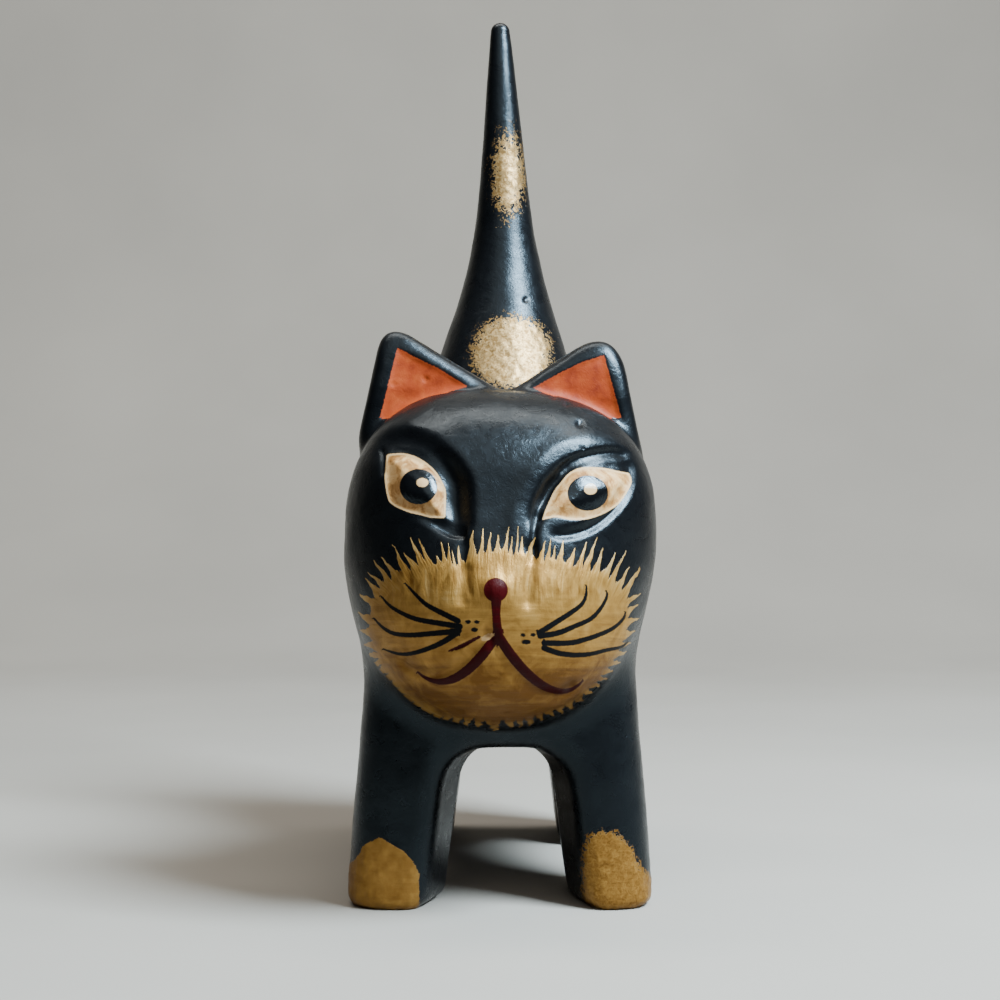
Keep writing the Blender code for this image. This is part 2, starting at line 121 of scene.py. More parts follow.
# The head: a rounded block, flatter on top than below, rolled a little to the cat's left. The carving of
# the face fades in between two shares of the face's depth.
HEAD_WIDTH = 0.0714
HEAD_ABOVE_MIDDLE = 0.0343
HEAD_BELOW_MIDDLE = 0.0415
HEAD_SQUARENESS_ABOVE = 2.6
HEAD_SQUARENESS_BELOW = 2.15
FACE_SQUARENESS = 2.3
NAPE_SQUARENESS = 3.4
HEAD_MIDDLE_HEIGHT = 0.0838
HEAD_MIDDLE_Y = 0.0070
FACE_DEPTH = 0.0290
FACE_CARVED_FROM = 0.32
FACE_CARVED_FULLY_FROM = 0.65
NAPE_DEPTH = 0.0300
HEAD_ROLL = math.radians(2.5)
HEAD_JOIN = 0.005
MUZZLE_CENTRE = (0.0, -0.0100, -0.0150)
MUZZLE_HALF_SIZE = (0.0250, 0.0245, 0.0235)
MUZZLE_JOIN = 0.010

# Each ear is a wedge between the cleft on the crown and the side of the head. Its points are the corner at
# the top before it is rounded off, and one low on the outer edge. They are given in the head's own frame,
# as a share of half its width and a share of its height above the middle.
EAR_CLEFT_HEIGHT = 0.991 * HEAD_ABOVE_MIDDLE
EAR_TOPS = ((-0.824, 1.466), (0.695, 1.522))
EAR_OUTER_FEET = ((-0.936, 0.758), (0.863, 0.816))
EAR_TIP_ROUNDINGS = (0.0075, 0.0120)
EAR_ROOT_HEIGHT = 0.466 * HEAD_ABOVE_MIDDLE
EAR_FRONT_Y = 0.0020
EAR_THICKNESS = 0.0165
EAR_LEAN_BACK = 0.14
EAR_TAPER = 0.40
EAR_EDGE = 0.0045
EAR_JOIN = 0.0020
EAR_DISH = 0.0006

# The face is laid out on a flat drawing at y = 0 and carried onto the head along straight lines from
# someone who looks it in the face from this far away and this high. Its points are x and z from the
# head's middle on the drawing, before the roll, as shares of half the head's width.
LAYOUT_DISTANCE = 0.420
LAYOUT_HEIGHT = 0.0930
LAYOUT_MIDDLE_HEIGHT = 0.0840
EYE_INNER_CORNERS = ((-0.350, 0.126), (0.261, 0.140))
EYE_OUTER_CORNERS = ((-0.742, 0.510), (0.796, 0.459))
EYE_RISES = (0.157, 0.182)
EYE_DROPS = (0.185, 0.143)
EYE_RIM_DEPTH = 0.00032
EYE_RIM_WIDTH = 0.0011
EYE_BULGE = 0.0010
EYE_BULGE_WIDTH = 0.0050
SOCKET_DEPTH = 0.0024
SOCKET_SHALLOW = 0.40
SOCKET_SHALLOWS = (-0.6, 0.4)
LID_TURNS = (-0.0020, 0.0040)
SOCKET_WIDTH = 0.0030
SOCKET_OFFSET = 0.0022
SOCKET_NARROW = (1.0, 0.55)
SOCKET_SHALLOWER = (0.0, 0.45)
SOCKET_FADES = ((-0.0048, 0.0036), (-0.0018, 0.0045))
BROW_HEIGHT = 0.0003
BROW_OFFSET = 0.0066
BROW_WIDTH = 0.0018

# The hollows over the left lower lid, over the right one and over the right brow, on the drawing in its
# pixels, and how deep each is at its points. Each has a steep wall on its line and rises gently to the eye.
LID_LINES = (
    (
        (405, 516), (419, 520.5), (428, 524.5), (437, 529), (444, 532.5), (451, 535.5), (459, 537.5),
        (466, 539),
    ),
    (
        (546, 536), (563, 538.5), (583, 535), (600, 527), (616, 514), (627, 500), (634, 484), (633, 468),
        (626, 456),
    ),
    (
        (632, 458), (625, 450.5), (613, 448), (598, 449.5), (583, 453), (572, 457.5), (563, 464.5),
        (556, 473),
    ),
)
LID_WALL = 0.0013
LID_GROOVE_WIDTH = 0.0034
LID_GROOVE_DEPTHS = (
    (0.0, 0.0003, 0.0005, 0.0008, 0.0009, 0.0010, 0.0010, 0.0008),
    (0.0003, 0.0007, 0.0008, 0.0009, 0.0010, 0.0010, 0.0007, 0.0005, 0.0003),
    (0.0003, 0.0009, 0.0010, 0.0010, 0.0009, 0.0008, 0.0006, 0.0),
)
LID_FADES = (0.08, 0.94)

# The nose and the mouth of the plain solid, in the same shares as the eyes' corners.
NOSE_TIP = (-0.014, -0.317)
NOSE_HEIGHT = 0.0012
NOSE_RADIUS = 0.0034
NOSE_SIDE_X = 0.210
NOSE_SIDE_LOW = -0.378
NOSE_SIDE_HIGH = -0.056
NOSE_SIDE_FADE = 0.0030
NOSE_SIDE_DEPTH = 0.0006
NOSE_SIDE_WIDTH = 0.0014
MOUTH_CURVES = (
    ((-0.050, -0.591), (-0.176, -0.782), (-0.381, -0.975), (-0.563, -0.807)),
    ((-0.036, -0.594), (0.064, -0.812), (0.308, -1.101), (0.487, -0.910)),
)
MOUTH_DEPTH = 0.0007
MOUTH_WIDTH = 0.0013

# The drawing: how much of the plane at the front of the forelegs one of its pixels covers, and its middle.
PIXEL = 0.00022605
DRAWING_MIDDLE = 500

# How many points a curve has, and how many steps a smooth line takes from one of its points to the next.
CURVE_POINTS = 17
LINE_STEPS = 4

# The eyes as painted: points of the upper and of the lower edge, from the inner to the outer corner and
# back. The pupils and the dots on them are a middle with two half sizes.
EYE_EDGES = (
    (
        ((445.4, 518.1), (445.8, 505), (445.8, 492), (443.5, 484.4), (435, 470.6), (420, 458.6),
         (404.5, 453.4), (386.5, 454.2)),
        ((386.5, 454.2), (385.2, 469), (384.9, 480), (387.2, 496), (391.5, 504), (406.8, 511.6), (422, 515.4),
         (431, 517.6), (445.4, 518.1)),
    ),
    (
        ((542, 520), (546.6, 507), (554, 491.4), (560.7, 482.6), (569.8, 472.5), (583, 467.3), (602, 467.8),
         (619.6, 471.3), (629, 473)),
        ((629, 473), (631.6, 480), (629.5, 488), (620, 502.6), (609.6, 510.4), (599.7, 515.4), (588, 519),
         (576.4, 520), (567, 519.3), (555, 517.2), (542, 520)),
    ),
)
PUPILS = ((418.4, 486.6, 18.8, 17.7), (587.8, 493.2, 20.3, 17.6))
GLINTS = ((422.3, 482.6, 6.0, 4.6), (590.5, 489.0, 6.5, 5.6))

# The red of the ears: corners and points along the slightly hollow edges.
EAR_REDS = (
    (
        (397.4, 347.6), (414.6, 357), (437.6, 368), (468, 386.6), (450, 391.5), (425, 401), (400, 413),
        (378, 425),
    ),
    ((604, 355), (580, 363), (557, 374.5), (533, 388), (556, 398.5), (582, 408.5), (603, 418), (624, 427)),
)

# The nose and the mouth: a ball, and lines with their widths.
NOSE_BALL = (495.8, 590, 12.2, 12.2)
NOSE_STEM = ((496.3, 596), (496.3, 615), (498, 634))
NOSE_STEM_WIDTHS = (11, 8.4, 9.5)
MOUTH_LINES = (
    ((498, 633), (478, 665), (447, 699), (417.5, 672)),
    ((497, 633), (516, 668), (556, 712), (583, 680.7)),
)
MOUTH_LINE_WIDTHS = (9.5, 10.5, 10, 8.5, 5, 2)

# The whiskers, from the muzzle out, and the dots beside them.
WHISKERS = (
    ((458, 621), (443, 613.5), (427, 605), (416, 595), (405, 583)),
    ((460, 626.5), (437.6, 623), (416, 619), (399.6, 612), (389, 605), (381, 596)),
    ((459, 631), (432, 633.5), (410.5, 635), (394, 633.5), (383, 627.6), (373.6, 618)),
    ((457, 633), (443, 642), (427, 649), (410.5, 653.6), (397.5, 653.6), (383, 649)),
    ((539, 633), (558, 621), (572, 612), (582, 604), (586, 595), (586.4, 585)),
    ((540, 636), (558, 633), (574, 626.5), (590.5, 619), (601, 608), (606.7, 597), (606.7, 590.7)),
    ((544, 643), (569, 643), (585, 639.5), (601, 634), (614, 627.6), (623, 619), (625.7, 612)),
    ((544, 648), (558, 653), (574, 655), (590.5, 654), (607, 650), (621, 647), (628, 641.7)),
)
WHISKER_WIDTHS = (6.0, 5.6, 5.0, 4.2, 3.2, 1.6)
FRECKLES = (
    (467.8, 622, 3.4, 2.2),
    (476.9, 622, 3.2, 2.0),
    (474.4, 629.8, 3.6, 2.4),
    (522.9, 634.9, 3.2, 1.8),
    (533, 634.9, 3.2, 1.9),
    (526, 642, 5.0, 2.5),
)

# The gold muzzle: the tips of its brush strokes and the middles of their bases, from the middle of the top
# down the right side, and then from there down the left side.
MUZZLE_SPIKES = (
    (
        (509.4, 524.6, 506.3, 549), (512, 538, 510.4, 558), (518.3, 522.3, 517, 554),
        (521.5, 537.3, 520.6, 553), (535.2, 537, 528.6, 556), (544.8, 541.1, 540.8, 562),
        (550.7, 537, 548.6, 556), (554.7, 546.1, 552.6, 561), (563.6, 539.9, 559.5, 560),
        (574.6, 548.2, 569, 565), (587.6, 541.1, 580, 565), (597.2, 536.6, 587, 565),
        (603.4, 548.6, 596, 572), (616.1, 552.7, 606.5, 573), (626.6, 549.4, 612.5, 580),
        (629.5, 567.2, 619, 586), (639.9, 566.4, 625, 593), (641.5, 592.1, 628, 603),
        (638.2, 603.7, 627.5, 612.5), (639.5, 617.8, 628, 622.5), (635.5, 631, 626, 635),
        (631, 643, 621, 646), (626.5, 652, 616, 655), (620.5, 662.5, 610, 664),
        (612.5, 671.6, 603, 672), (607, 679.5, 598.5, 679), (600, 686, 591.5, 685),
        (592.3, 693, 584.5, 691), (584, 700.5, 577, 696.5), (573.5, 708, 567.5, 702.5),
        (563.3, 713.5, 558.5, 707), (552, 716.5, 548.5, 709.5), (541.8, 720.5, 539, 713),
        (531, 725.5, 529.5, 717), (520.9, 727.5, 520, 718.5), (511.7, 727.5, 511.4, 719),
    ),
    (
        (498.4, 535.1, 497.1, 552), (490.4, 531.9, 489.1, 554), (482.9, 528.1, 481.8, 555),
        (472.4, 530.3, 472.2, 555), (457.9, 546.3, 459.5, 568), (452.1, 550.7, 454.5, 566),
        (448, 540.7, 450, 560), (440.9, 540.5, 444.4, 560), (436.5, 556.5, 440, 564.5),
        (418.6, 537, 427, 560), (410.3, 536.4, 420.5, 559), (404.2, 553.3, 413.5, 568),
        (392.9, 544, 404.5, 568), (380.9, 557.1, 396, 576), (373.6, 559.6, 386.5, 579),
        (367.5, 571.7, 381.5, 585), (365.3, 577.2, 377.5, 591), (359.6, 593.8, 373.5, 603.5),
        (357.9, 613.5, 369, 619), (359.5, 630, 370, 633), (364, 645, 374, 646), (370, 656, 379, 655),
        (375.5, 664, 384, 661.5), (381, 671, 389.5, 667), (387.5, 678, 395, 673),
        (394, 685, 401, 679.5), (400.5, 692, 407, 686), (408.5, 699.5, 414, 693),
        (417, 706, 421.5, 699), (426, 711.5, 429.5, 704), (436, 717, 439, 709), (446, 720, 448, 712),
        (456, 722.5, 457.5, 714), (466.5, 725.5, 467.5, 716.5), (478, 727.5, 478.5, 718.5),
        (494, 731, 493.5, 720),
    ),
)
MUZZLE_CORE = (500, 630, 110, 72)
MUZZLE_TOP = 622
SPIKE_MARGIN = 34.0
DEEPEST_INSIDE = 4.0
PAST_TIPS = -1.0

# The gold toes, the spots on the tail and the chip beside the nose's stem, with the cut beside the chip,
# along which a dark line is painted as the shade of its carved groove.
TOES = (
    (
        (340, 870), (357, 858), (365, 844), (379, 837.5), (390, 843), (403, 850.5), (414, 863), (419, 873),
        (419, 925), (340, 925),
    ),
    (
        (583, 925), (583, 850), (588, 836), (604, 831), (617, 833), (627, 842), (635, 854), (640, 866),
        (662, 884), (662, 925),
    ),
)
TAIL_SPOTS = ((508.5, 175, 15, 37), (512, 352, 39, 35))
CHIP = (487.5, 637, 7.0, 3.0)
CHIP_TURN = math.radians(-24)
CHIP_CUT = ((449, 651), (462, 646), (479, 637))
CUT_SHADE_WIDTHS = (2.0, 4.5, 3.0)

# Grooves and ridges that are too fine for the plain solid: points, depth and half width. Less than zero
# stands out.
CUTS = (
    (((381.5, 446), (383, 456), (383, 466), (382, 478)), 0.00045, 0.0005),
    (((468, 562), (467, 580), (470, 600)), 0.00035, 0.0006),
    (((540.5, 508), (537, 519), (535, 530), (534, 543), (533.5, 556), (531, 567)), 0.0009, 0.0008),
    (CHIP_CUT, 0.00045, 0.0005),
    (((570, 406), (590, 411), (610, 421.5), (624, 430)), -0.00030, 0.0005),
)
PITS = (
    (425.5, 379, 2.4, 0.0005),
    (394, 384, 1.8, 0.0003),
    (526, 299.5, 2.6, 0.0005),
    (527, 325, 2.0, 0.0003),
    (580, 423, 3.0, 0.0006),
    (554, 397, 2.2, 0.0004),
    (567, 404, 2.4, 0.0004),
)
CUT_FADES = (0.2, 0.8)
TAIL_PITS_ABOVE = 340

# How far the skin is pressed in, so that the paint doesn't stand out past the plain solid, everywhere and
# round the nose.
SKIN_INSET = 0.00006
NOSE_INSET = 0.00012
NOSE_INSET_RADIUS = 45.0

# Unevenness of the wood and of the paint: how high, over what length, and where in the noise it starts.
# The ridges of the gold follow the drawing: upright above the nose's tip and level below it, each stretched
# by a share of each pixel across and down.
KNIFE_HEIGHT = 0.00016
KNIFE_LENGTH = 0.0085
BRUSH_HEIGHT = 0.00005
BRUSH_LENGTH = 0.0026
BRUSH_SEED = 7.0
GOLD_THICKNESS = 0.00008
UPRIGHT_RIDGES = (0.16, 0.03)
UPRIGHT_RIDGE_HEIGHT = 0.00018
UPRIGHT_RIDGE_SEED = 3.0
UPRIGHT_RIDGES_RISE = (5.0, 40.0)
LEVEL_RIDGES = (0.02, 0.22)
LEVEL_RIDGE_HEIGHT = 0.00009
LEVEL_RIDGE_SEED = 5.0
STIPPLE_HEIGHT = 0.00022
STIPPLE_LENGTH = 0.0015
STIPPLE_SEED = 11.0
STIPPLE_FLOOR = -0.2
RED_RECESS = 0.00035
EYE_STEP = 0.00035

# Over how much of the drawing the edge of each paint or hollow rises: in pixels from its outline, and for
# the gold muzzle in shares of its strokes.
RED_EDGE = (-2.0, 4.0)
EYE_EDGE = (-0.5, 2.5)
MAROON_EDGE = (-1.5, 1.5)
DAB_EDGE = (-5.0, 5.0)
GOLD_EDGE = (0.75, 1.25)

# How finely the skin is made: its first step, how its points are moved, and its most triangles. The paint's
# edges and the face keep more of them than plain black wood does.
SKIN_STEP = 0.00052
SMOOTHING = 0.5
SMOOTHING_COUNT = 6
SURFACE_STEPS = 4
LONGEST_MOVE = 0.0012
GRADIENT_STEP = 0.00002
LEAST_SLOPE = 0.45
SOLE_DEPTH = 0.0004
SKIN_BUDGET = 194000
SPARED_MARGIN = 12
SPARED_PAST_TIPS = -0.4
SPARED_WEIGHT = 0.22

# On the drawing, in pixels: what counts as far, how near shapes, eyes and lines are measured, and by how
# much the way to a line's end is longer than the distance across. A groove reaches some half widths.
FAR = 60.0
SHAPE_REACH = 30.0
EYE_REACH = 48.0
LINE_REACH = 25.0
PAST_END = 0.05
GROOVE_REACH = 4

# Where the paint ends: past the middle of the head, past and before the ears' fronts, and on the tail and
# the feet, in the form's own frame.
PAINT_PAST_MIDDLE = 0.001
PAINT_PAST_EARS = 0.0065
CROWN_HEIGHT = 0.028
EAR_LEAN_HEIGHT = HEAD_MIDDLE_HEIGHT + EAR_CLEFT_HEIGHT
RED_STARTS = 0.0012
TAIL_PAINT_HEIGHT = 0.1
TAIL_PAINT_Y = 0.04
TAIL_PAINT_SHARE = 0.2
TOE_PAINT_HEIGHT = 0.04
TOE_PAINT_Y = 0.0125
RELIEF_FADE = 0.004
MUZZLE_FADE = 8

# Colours, as linear red, green and blue. Where a paint has several, they go from dark to light.
BLACK = (0.0021, 0.0023, 0.0027, 1)
GOLDS = ((0.120, 0.050, 0.007, 1), (0.285, 0.153, 0.036, 1), (0.420, 0.275, 0.105, 1))
DABS = ((0.140, 0.078, 0.024, 1), (0.310, 0.205, 0.090, 1))
REDS = ((0.130, 0.016, 0.004, 1), (0.200, 0.029, 0.006, 1), (0.270, 0.050, 0.011, 1))
CREAMS = ((0.190, 0.085, 0.024, 1), (0.350, 0.190, 0.068, 1), (0.440, 0.280, 0.130, 1))
MAROON = (0.026, 0.0016, 0.0022, 1)
BLACK_SHEEN = (0.54, 0.71, 0.83, 1)
PLAIN_SHEEN = (1.0, 1.0, 1.0, 1)

# The paints' noises: scale, detail, roughness and distortion. The scales count per metre, or as the streaks
# are stretched.
EDGE_NOISE = (2600.0, 2.0)
DAB_NOISE = (950.0, 3.0, 0.65, 1.2)
LEFT_TOE_NOISE = (420.0, 3.0)
SWAY_NOISE = (300.0, 2.0)
HAIR_NOISE = (1.0, 2.0)
STROKE_NOISE = (1.0, 3.0, 0.6)
UPRIGHT_NOISE = (1.0, 4.0, 0.6, 0.7)
LEVEL_NOISE = (1.0, 3.0, 0.5, 0.3)
PATCH_NOISE = (170.0, 4.0, 0.6, 0.8)
RED_NOISE = (260.0, 4.0, 0.55)
STAIN_NOISE = (330.0, 4.0, 0.65, 0.6)
LEATHER_NOISE = (520.0, 4.0, 0.62, 3.0)
BRUSHED_NOISE = (190.0, 4.0, 0.6, 1.6)

# The gold's brush strokes. Some values differ above and below, and change over some rows of the drawing.
LOW_STROKES = (640.0, 680.0)
BLUNT_STROKES = (475.0, 435.0)
BLUNTNESS = 0.6
STROKE_SWAYS = (0.5, 1.1)
STROKE_WIDTHS = (1.07, 1.16)
STROKE_POWERS = (2.4, 1.4)
HAIRS_A_STROKE = 3.3
RAGGEDNESS = 0.9
RAGGED_FROM = (0.3, 0.8)
STROKE_EDGE = (-0.01, 0.04)

# The gold's streaks: how far each kind is stretched, where one gives way to the next, and what each adds to
# the tone. Its ramps are the tones over which one gold changes to the next.
STROKE_STRETCH = (4.5, 0.8)
UPRIGHT_STRETCH = (0.20, 0.035)
LEVEL_STRETCH = (0.016, 0.17)
STROKES_END = (1.2, 1.9)
UPRIGHT_ABOVE = (4.0, 30.0)
STREAK_SHARES = (0.18, 0.55)
PATCH_SHARE = 0.50
TIPS_END = (0.3, 1.1)
TIP_LIGHTER = 0.16
# Painted shade: the gold darkens towards the chin, over these pixels below the muzzle's top and by this share
# of its tone, as light from above leaves the chin darker.
CHIN_SHADE_RAMP = (-10.0, -90.0)
CHIN_SHADE_DEPTH = 0.19
TONE_MIDDLE = 0.5
GOLD_RAMPS = ((0.36, 0.56), (0.56, 0.80))
DAB_RAMP = (0.40, 0.62)
LEFT_TOE_RAMP = (0.1, 0.95)
RIGHT_TOE_RAMP = (0.30, 0.80)
RED_RAMPS = ((0.28, 0.46), (0.50, 0.75))
CREAM_RAMPS = ((0.38, 0.52), (0.50, 0.66))
# Painted highlight: over this ramp of pixels inside the outline, the eyes' cream turns to its lightest colour
# along their carved rims, where the edge catches the light.
EYE_RIM_HIGHLIGHT = (-2.4, -1.2)

# How uneven painted edges are, in pixels of the drawing and as shares of that.
EDGE_WOBBLE = 2.4
DAB_WOBBLE = 44.0
TOE_DABS = (0.12, 0.55)
EYE_WOBBLE = 0.4
PUPIL_WOBBLE = 0.3
LINE_WOBBLE = 0.5
CHIP_WOBBLE = 0.8
STROKE_NEIGHBOURHOOD = 1.3

# Roughness, gloss and the bumps of the paint's surface.
BLACK_ROUGHNESS = (0.28, 0.16)
GOLD_ROUGHNESS = (0.20, 0.34)
RED_ROUGHNESS = 0.50
EYE_ROUGHNESS = 0.45
PUPIL_ROUGHNESS = 0.18
MAROON_ROUGHNESS = 0.30
BLACK_GLOSS = 0.28
GOLD_GLOSS = 0.16
LINE_GLOSS = 0.06
RED_AND_EYE_GLOSS = 0.12
PUPIL_GLOSS = 0.40
GOLD_METALLIC = 0.55
WOOD_BUMPS = (0.50, 0.55)
GOLD_BUMPS = (1.3, 0.4)
BUMP_STRENGTH = 0.48
BUMP_DISTANCE = 0.00026

# The backdrop: a floor, a round cove and a wall, of slightly mottled paper.
FLOOR_FRONT = -0.22
FLOOR_BACK = 0.55
COVE_RADIUS = 0.45
COVE_STEPS = 16
WALL_TOP = 2.2
BACKDROP_HALF_WIDTH = 2.2
PAPERS = ((0.19552, 0.18048, 0.15698, 1), (0.22048, 0.20352, 0.17702, 1))
PAPER_NOISE = (6.0, 4.0)
PAPER_RAMP = (0.3, 0.7)
PAPER_ROUGHNESS = 0.9

# The lights: a cool window high on the right, weak soft light from above and in front, and one for the
# backdrop. Each has its place, what it faces, its width, height, power and colour.
LIGHTS = {
    "window": ((0.41, -0.30, 0.66), (0.0, 0.0, 0.11), 0.30, 0.30, 45.0, (0.73, 0.88, 1.0)),
    "ceiling": ((0.10, -0.75, 0.95), (0.0, 0.0, 0.08), 1.40, 1.00, 7.0, (1.0, 0.95, 0.87)),
    "backdrop_light": ((0.0, 0.20, 1.50), (0.0, 0.95, 0.40), 1.6, 0.5, 31.0, (1.0, 0.95, 0.88)),
}
ROOM_COLOUR = (0.90, 0.94, 1.0, 1)
ROOM_STRENGTH = 0.07
SENSOR_WIDTH = 36.0
CLIP_START = 0.01


def rounded_max(a, b, rounding):
    """The larger of two distances, which cuts one form by another. The edge is rounded off."""
    near = np.maximum(rounding - np.abs(a - b), 0.0) / rounding
    return np.maximum(a, b) + near * near * rounding / 4


def rounded_min(a, b, rounding):
    """The smaller of two distances, which joins two forms. The crease is filled with a small fillet."""
    return -rounded_max(-a, -b, rounding)


def smooth_step(low, high, value):
    t = np.clip((value - low) / (high - low), 0.0, 1.0)
    return t * t * (3 - 2 * t)


def bump(distance, width):
    """1 at distance 0, falling softly to 0 over about twice the width."""
    return np.exp(-((distance / width) ** 2))


def turned(x, z, turn):
    """Points turned about the origin."""
    turn_cos, turn_sin = math.cos(turn), math.sin(turn)
    return x * turn_cos - z * turn_sin, x * turn_sin + z * turn_cos


def to_head(p):
    """Moves points into the head's own frame: its middle is the origin and its roll is undone."""
    x, z = turned(p[:, 0], p[:, 2] - HEAD_MIDDLE_HEIGHT, HEAD_ROLL)
    return x, p[:, 1] - HEAD_MIDDLE_Y, z


def to_drawing(p):
    """Where each point falls on the flat drawing of the face, from the head's middle."""
    scale = LAYOUT_DISTANCE / (LAYOUT_DISTANCE + p[:, 1])
    x = p[:, 0] * scale
    z = LAYOUT_HEIGHT + (p[:, 2] - LAYOUT_HEIGHT) * scale - LAYOUT_MIDDLE_HEIGHT
    return np.stack(turned(x, z, HEAD_ROLL), axis=1)


def body_form(p):
    """The block with its four legs cut free by one slot and one arch."""
    x, y, z = p.T
    width = WIDTH_AT_FEET + (WIDTH_AT_BACK - WIDTH_AT_FEET) * smooth_step(0, TAPER_HEIGHT, z)
    block = rounded_max(np.abs(x) - width / 2, -y, BLOCK_CORNER)
    block = rounded_max(block, y - BODY_LENGTH, BLOCK_CORNER)
    rise = smooth_step(BACK_RISE_STARTS, BACK_RISE_ENDS, y / BODY_LENGTH)
    back_line = WITHERS_HEIGHT + (RUMP_HEIGHT - WITHERS_HEIGHT) * rise
    block = rounded_max(block, z - back_line, BACK_ROUNDING)
    block = rounded_max(block, -SOLE_DEPTH - z, SOLE_ROUNDING)

    chamfer = FORELEG_CHAMFER * np.maximum(0.0, 1 - y / FORELEG_CHAMFER_DEPTH)
    slot_width = SLOT_WIDTH_LOW + (SLOT_WIDTH_HIGH - SLOT_WIDTH_LOW) * z / SLOT_HEIGHT
    slot = rounded_max(
        np.abs(x - SLOT_OFFSET) - slot_width / 2 - chamfer, z - SLOT_HEIGHT, SLOT_ROUNDING
    )
    arch_front = FORELEG_LENGTH + LEG_LEAN * z
    arch_back = BODY_LENGTH - HINDLEG_LENGTH - LEG_LEAN * z
    arch_ends = np.maximum(arch_front - y, y - arch_back)
    arch = rounded_max(arch_ends, z - ARCH_HEIGHT, ARCH_ROUNDING)
    block = rounded_max(block, -slot, LEG_EDGE)
    return rounded_max(block, -arch, LEG_EDGE)


def smooth_curve(at, knots, values):
    """A smooth curve through the values at the knots."""
    slopes = np.gradient(values, knots)
    place = np.clip(np.searchsorted(knots, at) - 1, 0, len(knots) - 2)
    span = knots[place + 1] - knots[place]
    t = (at - knots[place]) / span
    start, end = values[place], values[place + 1]
    start_slope, end_slope = slopes[place] * span, slopes[place + 1] * span
    bend = start - end
    return start + t * (
        start_slope
        + t * (-3 * bend - 2 * start_slope - end_slope + t * (2 * bend + start_slope + end_slope))
    )


def tail_knots():
    """The tail's heights above the ground, each with its radius, up to the middle of its round tip."""
    knots = [(RUMP_HEIGHT + rise * TAIL_LENGTH, share * TAIL_RADIUS) for rise, share in TAIL_PROFILE]
    knots.append((RUMP_HEIGHT + TAIL_LENGTH - TAIL_TIP_RADIUS, TAIL_TIP_RADIUS))
    return knots


def tail_axis(z):
    """The tail's middle and its radius at some heights."""
    heights, radii = np.array(tail_knots()).T
    level = np.clip(z, heights[0], heights[-1])
    radius = smooth_curve(level, heights, radii)
    share = (level - heights[0]) / (heights[-1] - heights[0])
    middle_x = TAIL_BOW * np.sin(math.pi * share)
    middle_y = rounded_min(TAIL_Y, BODY_LENGTH - TAIL_INSET - radius, TAIL_SHIFT_ROUNDING)
    return middle_x, middle_y, radius


def tail_form(p):
    """A horn that grows out of the whole rump and thins to a round tip."""
    x, y, z = p.T
    heights = [height for height, _ in tail_knots()]
    top = heights[-1]
    middle_x, middle_y, radius = tail_axis(z)
    around = np.hypot(x - middle_x, y - middle_y)
    horn = np.hypot(around, np.maximum(z - top, 0.0)) - radius
    return rounded_max(horn, heights[0] - TAIL_ROOT - z, TAIL_ROOT)


def head_block(x, y, z):
    """A block with rounded faces: square on top, egg-shaped below, and fuller at the muzzle."""
    above = z > 0
    half_height = np.where(above, HEAD_ABOVE_MIDDLE, HEAD_BELOW_MIDDLE)
    power = np.where(above, HEAD_SQUARENESS_ABOVE, HEAD_SQUARENESS_BELOW)
    ring = ((2 * np.abs(x) / HEAD_WIDTH) ** power + (np.abs(z) / half_height) ** power) ** (1 / power)
    depth = np.where(y < 0, FACE_DEPTH, NAPE_DEPTH)
    deep = np.where(y < 0, FACE_SQUARENESS, NAPE_SQUARENESS)
    size = (ring**deep + (np.abs(y) / depth) ** deep) ** (1 / deep)
    skull = (size - 1) * FACE_DEPTH
    offsets = [
        (at - middle) / half
        for at, middle, half in zip((x, y, z), MUZZLE_CENTRE, MUZZLE_HALF_SIZE, strict=True)
    ]
    muzzle = (np.sqrt(sum(offset**2 for offset in offsets)) - 1) * min(MUZZLE_HALF_SIZE)
    return rounded_min(skull, muzzle, MUZZLE_JOIN)


def line_distance(x, z, start, end):
    """How far points are to the left of a line, for someone who goes from its start to its end."""
    along_x, along_z = end[0] - start[0], end[1] - start[1]
    length = math.hypot(along_x, along_z)
    return (along_x * (z - start[1]) - along_z * (x - start[0])) / length


def ear_point(shares):
    """A point of an ear's outline in the head's frame, in metres."""
    return shares[0] * HEAD_WIDTH / 2, shares[1] * HEAD_ABOVE_MIDDLE


def ear_form(x, y, z, side):
    """One ear in the head's frame: a wedge that leans back, thins to its tip and is rounded there."""
    top, outer_foot = ear_point(EAR_TOPS[side]), ear_point(EAR_OUTER_FEET[side])
    turn = 1 if side else -1
    inner = turn * line_distance(x, z, (0.0, EAR_CLEFT_HEIGHT), top)
    outer = turn * line_distance(x, z, top, outer_foot)
    outline = rounded_max(inner, outer, EAR_TIP_ROUNDINGS[side])
    outline = np.maximum(outline, np.abs(x) - HEAD_WIDTH / 2)
    rise = np.maximum(z - EAR_CLEFT_HEIGHT, 0.0)
    dish = EAR_DISH * smooth_step(0.0, 2 * EAR_EDGE, -outline)
    front = EAR_FRONT_Y + EAR_LEAN_BACK * rise + dish - y
    back = y - (EAR_FRONT_Y + EAR_THICKNESS - EAR_TAPER * rise)
    plate = rounded_max(front, back, EAR_EDGE)
    wedge = rounded_max(outline, plate, EAR_EDGE)
    return rounded_max(wedge, EAR_ROOT_HEIGHT - z, EAR_THICKNESS / 2)


def on_face(shares):
    """A point or a length of the face's drawing, in metres."""
    return np.array(shares) * HEAD_WIDTH / 2


